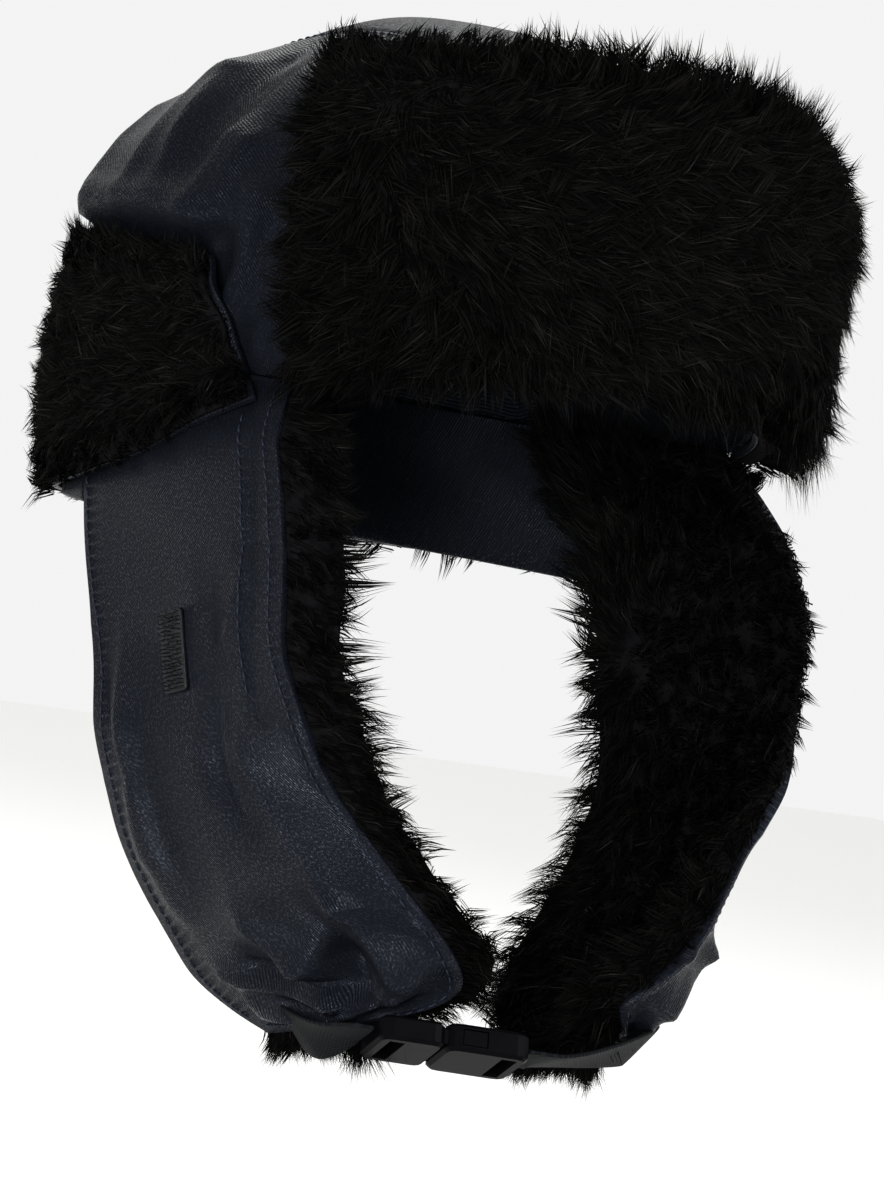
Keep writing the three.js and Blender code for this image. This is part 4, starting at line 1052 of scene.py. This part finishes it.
def tube(path, radius, sides=5):
    """Round tube along a path: a ring of points square to the path at each of its places, with a
    point at each end."""
    run = unit(np.gradient(path, axis=0))
    first = unit(np.cross(run, [0.31, 0.52, 0.79]))
    second = np.cross(run, first)
    a = np.linspace(0, 2 * np.pi, sides, endpoint=False)
    radius = np.broadcast_to(np.asarray(radius, float), (len(path),))
    ring = np.cos(a)[None, :, None] * first[:, None] + np.sin(a)[None, :, None] * second[:, None]
    ring = path[:, None] + radius[:, None, None] * ring
    points = np.concatenate([ring.reshape(-1, 3), path[:1], path[-1:]])
    return points, *ring_faces(len(path), sides)


def copies(points, faces, frames):
    """One shape at many places: each frame is a place and three ways, and the points are added up
    along the ways."""
    places, ways = frames
    made = places[:, None] + np.einsum("pk,nkd->npd", points, ways)
    shift = (np.arange(len(places)) * len(points))[:, None, None]
    return made.reshape(-1, 3), [(f[None] + shift).reshape(-1, f.shape[1]) for f in faces]


for name, side in (("right", 1), ("left", -1)):
    foot, across, down, out = tape_frame(side)
    ways = np.stack([across, down, out])
    points, quads, ends = rounded_slab(TAPE_WIDE, TAPE_LONG, TAPE_THICK * 0.75, 1.2)
    pad = (foot + points @ ways, [quads, ends])
    rng = np.random.default_rng(151 + side)
    x, y = np.meshgrid(np.arange(-3.6, 3.7, 1.2), np.arange(-9.9, 10, 1.1))
    spots = np.stack([x.ravel(), y.ravel()], -1) + rng.uniform(-0.25, 0.25, (x.size, 2))
    t = np.linspace(0, 1, 6)
    bend = np.stack([0 * t, 0.9 * np.sin(t * 2.6) ** 2 * t, 1.5 * np.sin(t * 2.2)], -1)
    hook_points, hook_quads, hook_ends = tube(bend, 0.16, 4)
    spin = rng.uniform(0, 2 * np.pi, len(spots))
    turned = np.stack([np.cos(spin)[:, None] * across + np.sin(spin)[:, None] * down,
                       np.cos(spin)[:, None] * down - np.sin(spin)[:, None] * across,
                       np.broadcast_to(out, (len(spots), 3))], 1)
    top = foot + out * (TAPE_THICK * 0.7) + spots[:, :1] * across + spots[:, 1:] * down
    hooks = copies(hook_points, [hook_quads, hook_ends], (top, turned))
    count = len(pad[0])
    made = mesh_object(f"hook_tape_{name}", np.concatenate([pad[0], hooks[0]]),
                       [np.concatenate([pad[1][0], hooks[1][0] + count]),
                        np.concatenate([pad[1][1], hooks[1][1] + count])], HOOKS)
    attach(made, "root")
    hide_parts(f"hook_patch_{name}")
    print(f"hook_tape_{name}: {len(spots)} hooks")

# %% [markdown]
# ## Stitches
# Rows of stitches run beside the seams and round the ear flaps. A stitch is a short thread that
# comes out of the cloth, lies on it and goes back in. One stitch is worked out as a tube, and it is
# copied along each row, which is a line of shares on the cloth.

# %% Stitches
STITCH_LONG, STITCH_STEP, THREAD_RADIUS = 2.6, 3.4, 0.27


def stitch_row(surface, line):
    """Places and ways of the stitches along a line of shares: evenly spaced along its length, each
    with a way along the row, one across and one out of the cloth."""
    line = np.asarray(line, float)
    fine = np.stack([np.interp(np.linspace(0, 1, 400), np.linspace(0, 1, len(line)), line[:, k])
                     for k in range(2)], -1)
    p = surface(fine[:, 0], fine[:, 1], 0.0)
    length = np.concatenate([[0], np.cumsum(np.linalg.norm(np.diff(p, axis=0), axis=-1))])
    spots = np.arange(STITCH_STEP, length[-1] - STITCH_STEP / 2, STITCH_STEP)
    at = np.stack([np.interp(spots, length, fine[:, k]) for k in range(2)], -1)
    near = np.stack([np.interp(spots + 0.5, length, fine[:, k]) for k in range(2)], -1)
    place = surface(at[:, 0], at[:, 1], 0.0)
    along = unit(surface(near[:, 0], near[:, 1], 0.0) - place)
    out = unit(surface(at[:, 0], at[:, 1], 1.0) - place)
    out = unit(out - along * (along * out).sum(-1, keepdims=True))
    return place, np.stack([along, np.cross(out, along), out], 1)


def stitches(name, rows):
    """One piece of thread from several rows: a tube that rises out of the cloth and dips back."""
    t = np.linspace(-0.5, 0.5, 5)
    lift = THREAD_RADIUS * (1.25 - 6.5 * t ** 2)
    one, quads, ends = tube(np.stack([STITCH_LONG * t, 0 * t, lift], -1), THREAD_RADIUS, 5)
    frames = [stitch_row(surface, line) for surface, line in rows]
    frames = tuple(np.concatenate([f[k] for f in frames]) for k in range(2))
    points, faces = copies(one, [quads, ends], frames)
    made = mesh_object(name, points, faces, THREAD)
    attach(made, "root")
    print(f"{name}: {len(frames[0])} stitches")


for name, side in (("right", 1), ("left", -1)):
    flap = lambda u, v, lift, s=side: ear_outside(s, u, v, lift)
    crown = panel_outside(*side_panel(side), SIDE_CREASES, SIDE_LONG, 5 + side)
    stitches(f"stitches_{name}", [
        (flap, [(0.045, 0.03), (0.045, 0.35), (0.045, 0.66), (0.05, 0.8), (0.06, 0.93)]),
        (flap, [(0.06, 0.965), (0.4, 0.97), (0.94, 0.965)]),
        (flap, [(0.955, 0.95), (0.955, 0.6), (0.955, 0.25), (0.955, 0.1)]),
        (flap, [(0.13, 0.08), (0.15, 0.29), (0.195, 0.385)]),
        (crown, [(0.035, 0.03), (0.035, 0.5), (0.035, 0.97)])])

# %% [markdown]
# ## The strap
# Two bands of webbing join the flaps to the buckle. Each follows a smooth path through the same few
# places as its solid. Its section is a flat oval with square ends, and its ribs come from the
# finish.

# %% Webbing straps
STRAP_WIDE, STRAP_THICK, STRAP_EASE, STRAP_BEND = 15.0, 1.4, 1.2, 6.0
BUCKLE_LONG, BUCKLE_WIDE, BUCKLE_THICK, BUCKLE_TILT = 41.0, 22.0, 7.5, 66.0


def path_through(points, t):
    """Smooth path through points that stand unevenly apart: on each span a cubic, whose slopes
    weigh the three nearest spans by the square root of their lengths."""
    points = np.asarray(points, float)
    ends = [2 * points[0] - points[1]], [2 * points[-1] - points[-2]]
    padded = np.concatenate([ends[0], points, ends[1]])
    p = np.clip(t, 0, 1) * (len(points) - 1)
    i = np.minimum(np.floor(p).astype(int), len(points) - 2)
    w = (p - i)[:, None]
    a, b, c, d = (padded[i + k] for k in range(4))
    gap = lambda m, n: np.maximum(np.linalg.norm(n - m, axis=-1, keepdims=True), 1e-6) ** 0.5
    d0, d1, d2 = gap(a, b), gap(b, c), gap(c, d)
    s1 = ((b - a) / d0 - (c - a) / (d0 + d1) + (c - b) / d1) * d1
    s2 = ((c - b) / d1 - (d - b) / (d1 + d2) + (d - c) / d2) * d1
    return b + w * s1 + w ** 2 * (3 * (c - b) - 2 * s1 - s2) + w ** 3 * (2 * (b - c) + s1 + s2)


tilt = math.radians(BUCKLE_TILT)
corner = ear_point(1, np.array(0.0), np.array(1.0), np.array(0.0))
buckle_middle = corner + [15.5, -19.7, -0.2]
along = unit(np.array([0.93, -0.37, 0.0]))
face = unit(np.array([along[1] * math.cos(tilt), -along[0] * math.cos(tilt), -math.sin(tilt)]))
across = np.cross(face, along)


def in_buckle(x):
    """Place on the buckle's middle line, and the way its face looks."""
    return buckle_middle + along * x, face


def on_flap(side, u, v, ease):
    """Place over a flap's outside, half a strap's thickness and some ease above it."""
    at = ear_point(side, np.array(u), np.array(v), np.array(GAP + STRAP_THICK / 2 + ease))
    return at, unit(at - ear_point(side, np.array(u), np.array(v), np.array(0.0)))


def webbing(name, places):
    """Band along a path: at each place a flat section of 24 points, as wide as the strap, whose
    corners are rounded."""
    t = np.linspace(0, 1, 70)
    middle = path_through([p[0] for p in places], t)
    looks = path_through([p[1] for p in places], t)
    run = unit(np.gradient(middle, axis=0))
    side = unit(np.cross(run, looks))
    out = np.cross(side, run)
    a = np.linspace(0, 2 * np.pi, 24, endpoint=False)
    x = np.sign(np.cos(a)) * np.abs(np.cos(a)) ** 0.5 * STRAP_WIDE / 2
    y = np.sign(np.sin(a)) * np.abs(np.sin(a)) ** 0.35 * STRAP_THICK / 2
    ring = middle[:, None] + x[None, :, None] * side[:, None] + y[None, :, None] * out[:, None]
    points = np.concatenate([ring.reshape(-1, 3), middle[:1], middle[-1:]])
    faces = outwards(points, ring_faces(len(t), len(a)))
    made = mesh_object(name, points, faces, WEBBING)
    length = np.concatenate([[0], np.cumsum(np.linalg.norm(np.diff(middle, axis=0), axis=-1))])
    spread = np.stack([np.tile(x, len(t)), np.repeat(length, len(a))], -1)
    spread = np.concatenate([spread, [[0, 0], [0, length[-1]]]]) * 0.001
    put_map(made, "weave", spread)
    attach(made, "root")
    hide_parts(name.replace("webbing", "strap"))
    print(f"{name}: {length[-1]:.0f} mm long")


half = BUCKLE_LONG / 2
webbing("webbing_right", [on_flap(1, 0.56, 0.94, STRAP_EASE),
                          on_flap(1, 0.42, 0.94, 2 * STRAP_EASE),
                          in_buckle(-half - STRAP_BEND), in_buckle(-half - 5 * GAP)])
webbing("webbing_left", [in_buckle(half + 2 * GAP), in_buckle(half + STRAP_BEND),
                         on_flap(-1, 0.26, 0.87, 2 * STRAP_EASE),
                         on_flap(-1, 0.44, 0.83, STRAP_EASE)])

# %% [markdown]
# ## The buckle
# The side-release buckle keeps its two solids, because their shape is already right, and gets its
# plastic here.

# %% The buckle's plastic
for name in ("buckle_socket", "buckle_plug"):
    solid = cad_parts[name]
    solid.data.materials.clear()
    solid.data.materials.append(PLASTIC)
    print(name, "keeps its solid")

# %% [markdown]
# ## Floor and light
# The floor is plain and pale. Four square soft lamps stand round the hat: two at the left, one in
# front and a weak one behind, so the satin gets wide highlights and the black fur keeps depth.
# Light values go to the screen as they are, with no film curve, so white stays white and black
# stays black.

# %% Floor
FLOOR_DEPTH = 0.4
pale = plain_grain("pale_floor_paper", "#f1f1ef", "#f6f6f4", 0.9, 3.0, 0.02, IOR=1.45)
t = np.linspace(-2.5, 2.5, 3)
x, y = np.meshgrid(t, t)
floor = mesh_object("floor", np.stack([x, y, 0 * x - FLOOR_DEPTH], -1).reshape(-1, 3),
                    [grid_faces(3, 3)[:, ::-1]], pale, mm=False)

# %% Lamps
def softbox(name, place, size, power):
    """Square soft lamp that looks at the hat's middle."""
    lamp = bpy.data.objects.new(name, bpy.data.lights.new(name, "AREA"))
    bpy.context.scene.collection.objects.link(lamp)
    lamp.data.shape = "SQUARE"
    lamp.data.size = size
    lamp.data.energy = power
    place = np.array(place, float)
    toward = unit(place - np.array([0, 0, -0.13]))
    side = unit(np.cross([0, 0, 1], toward))
    ways = np.stack([side, np.cross(toward, side), toward], 1)
    lamp.matrix_world = Matrix([[*ways[k], place[k]] for k in range(3)] + [[0, 0, 0, 1]])


softbox("lamp_left", (-1.3, -1.1, -0.06), 0.5, 46)
softbox("lamp_side", (-1.45, 0.55, -0.12), 0.3, 11)
softbox("lamp_front", (0.5, -1.7, 0.6), 0.6, 34)
softbox("lamp_back", (0.9, 1.2, 0.9), 0.7, 5)
world = bpy.data.worlds.new("studio")
world.use_nodes = True
world.node_tree.nodes["Background"].inputs["Color"].default_value = linear("#ffffff")
world.node_tree.nodes["Background"].inputs["Strength"].default_value = 0.9
bpy.context.scene.world = world
bpy.context.scene.view_settings.view_transform = "Standard"
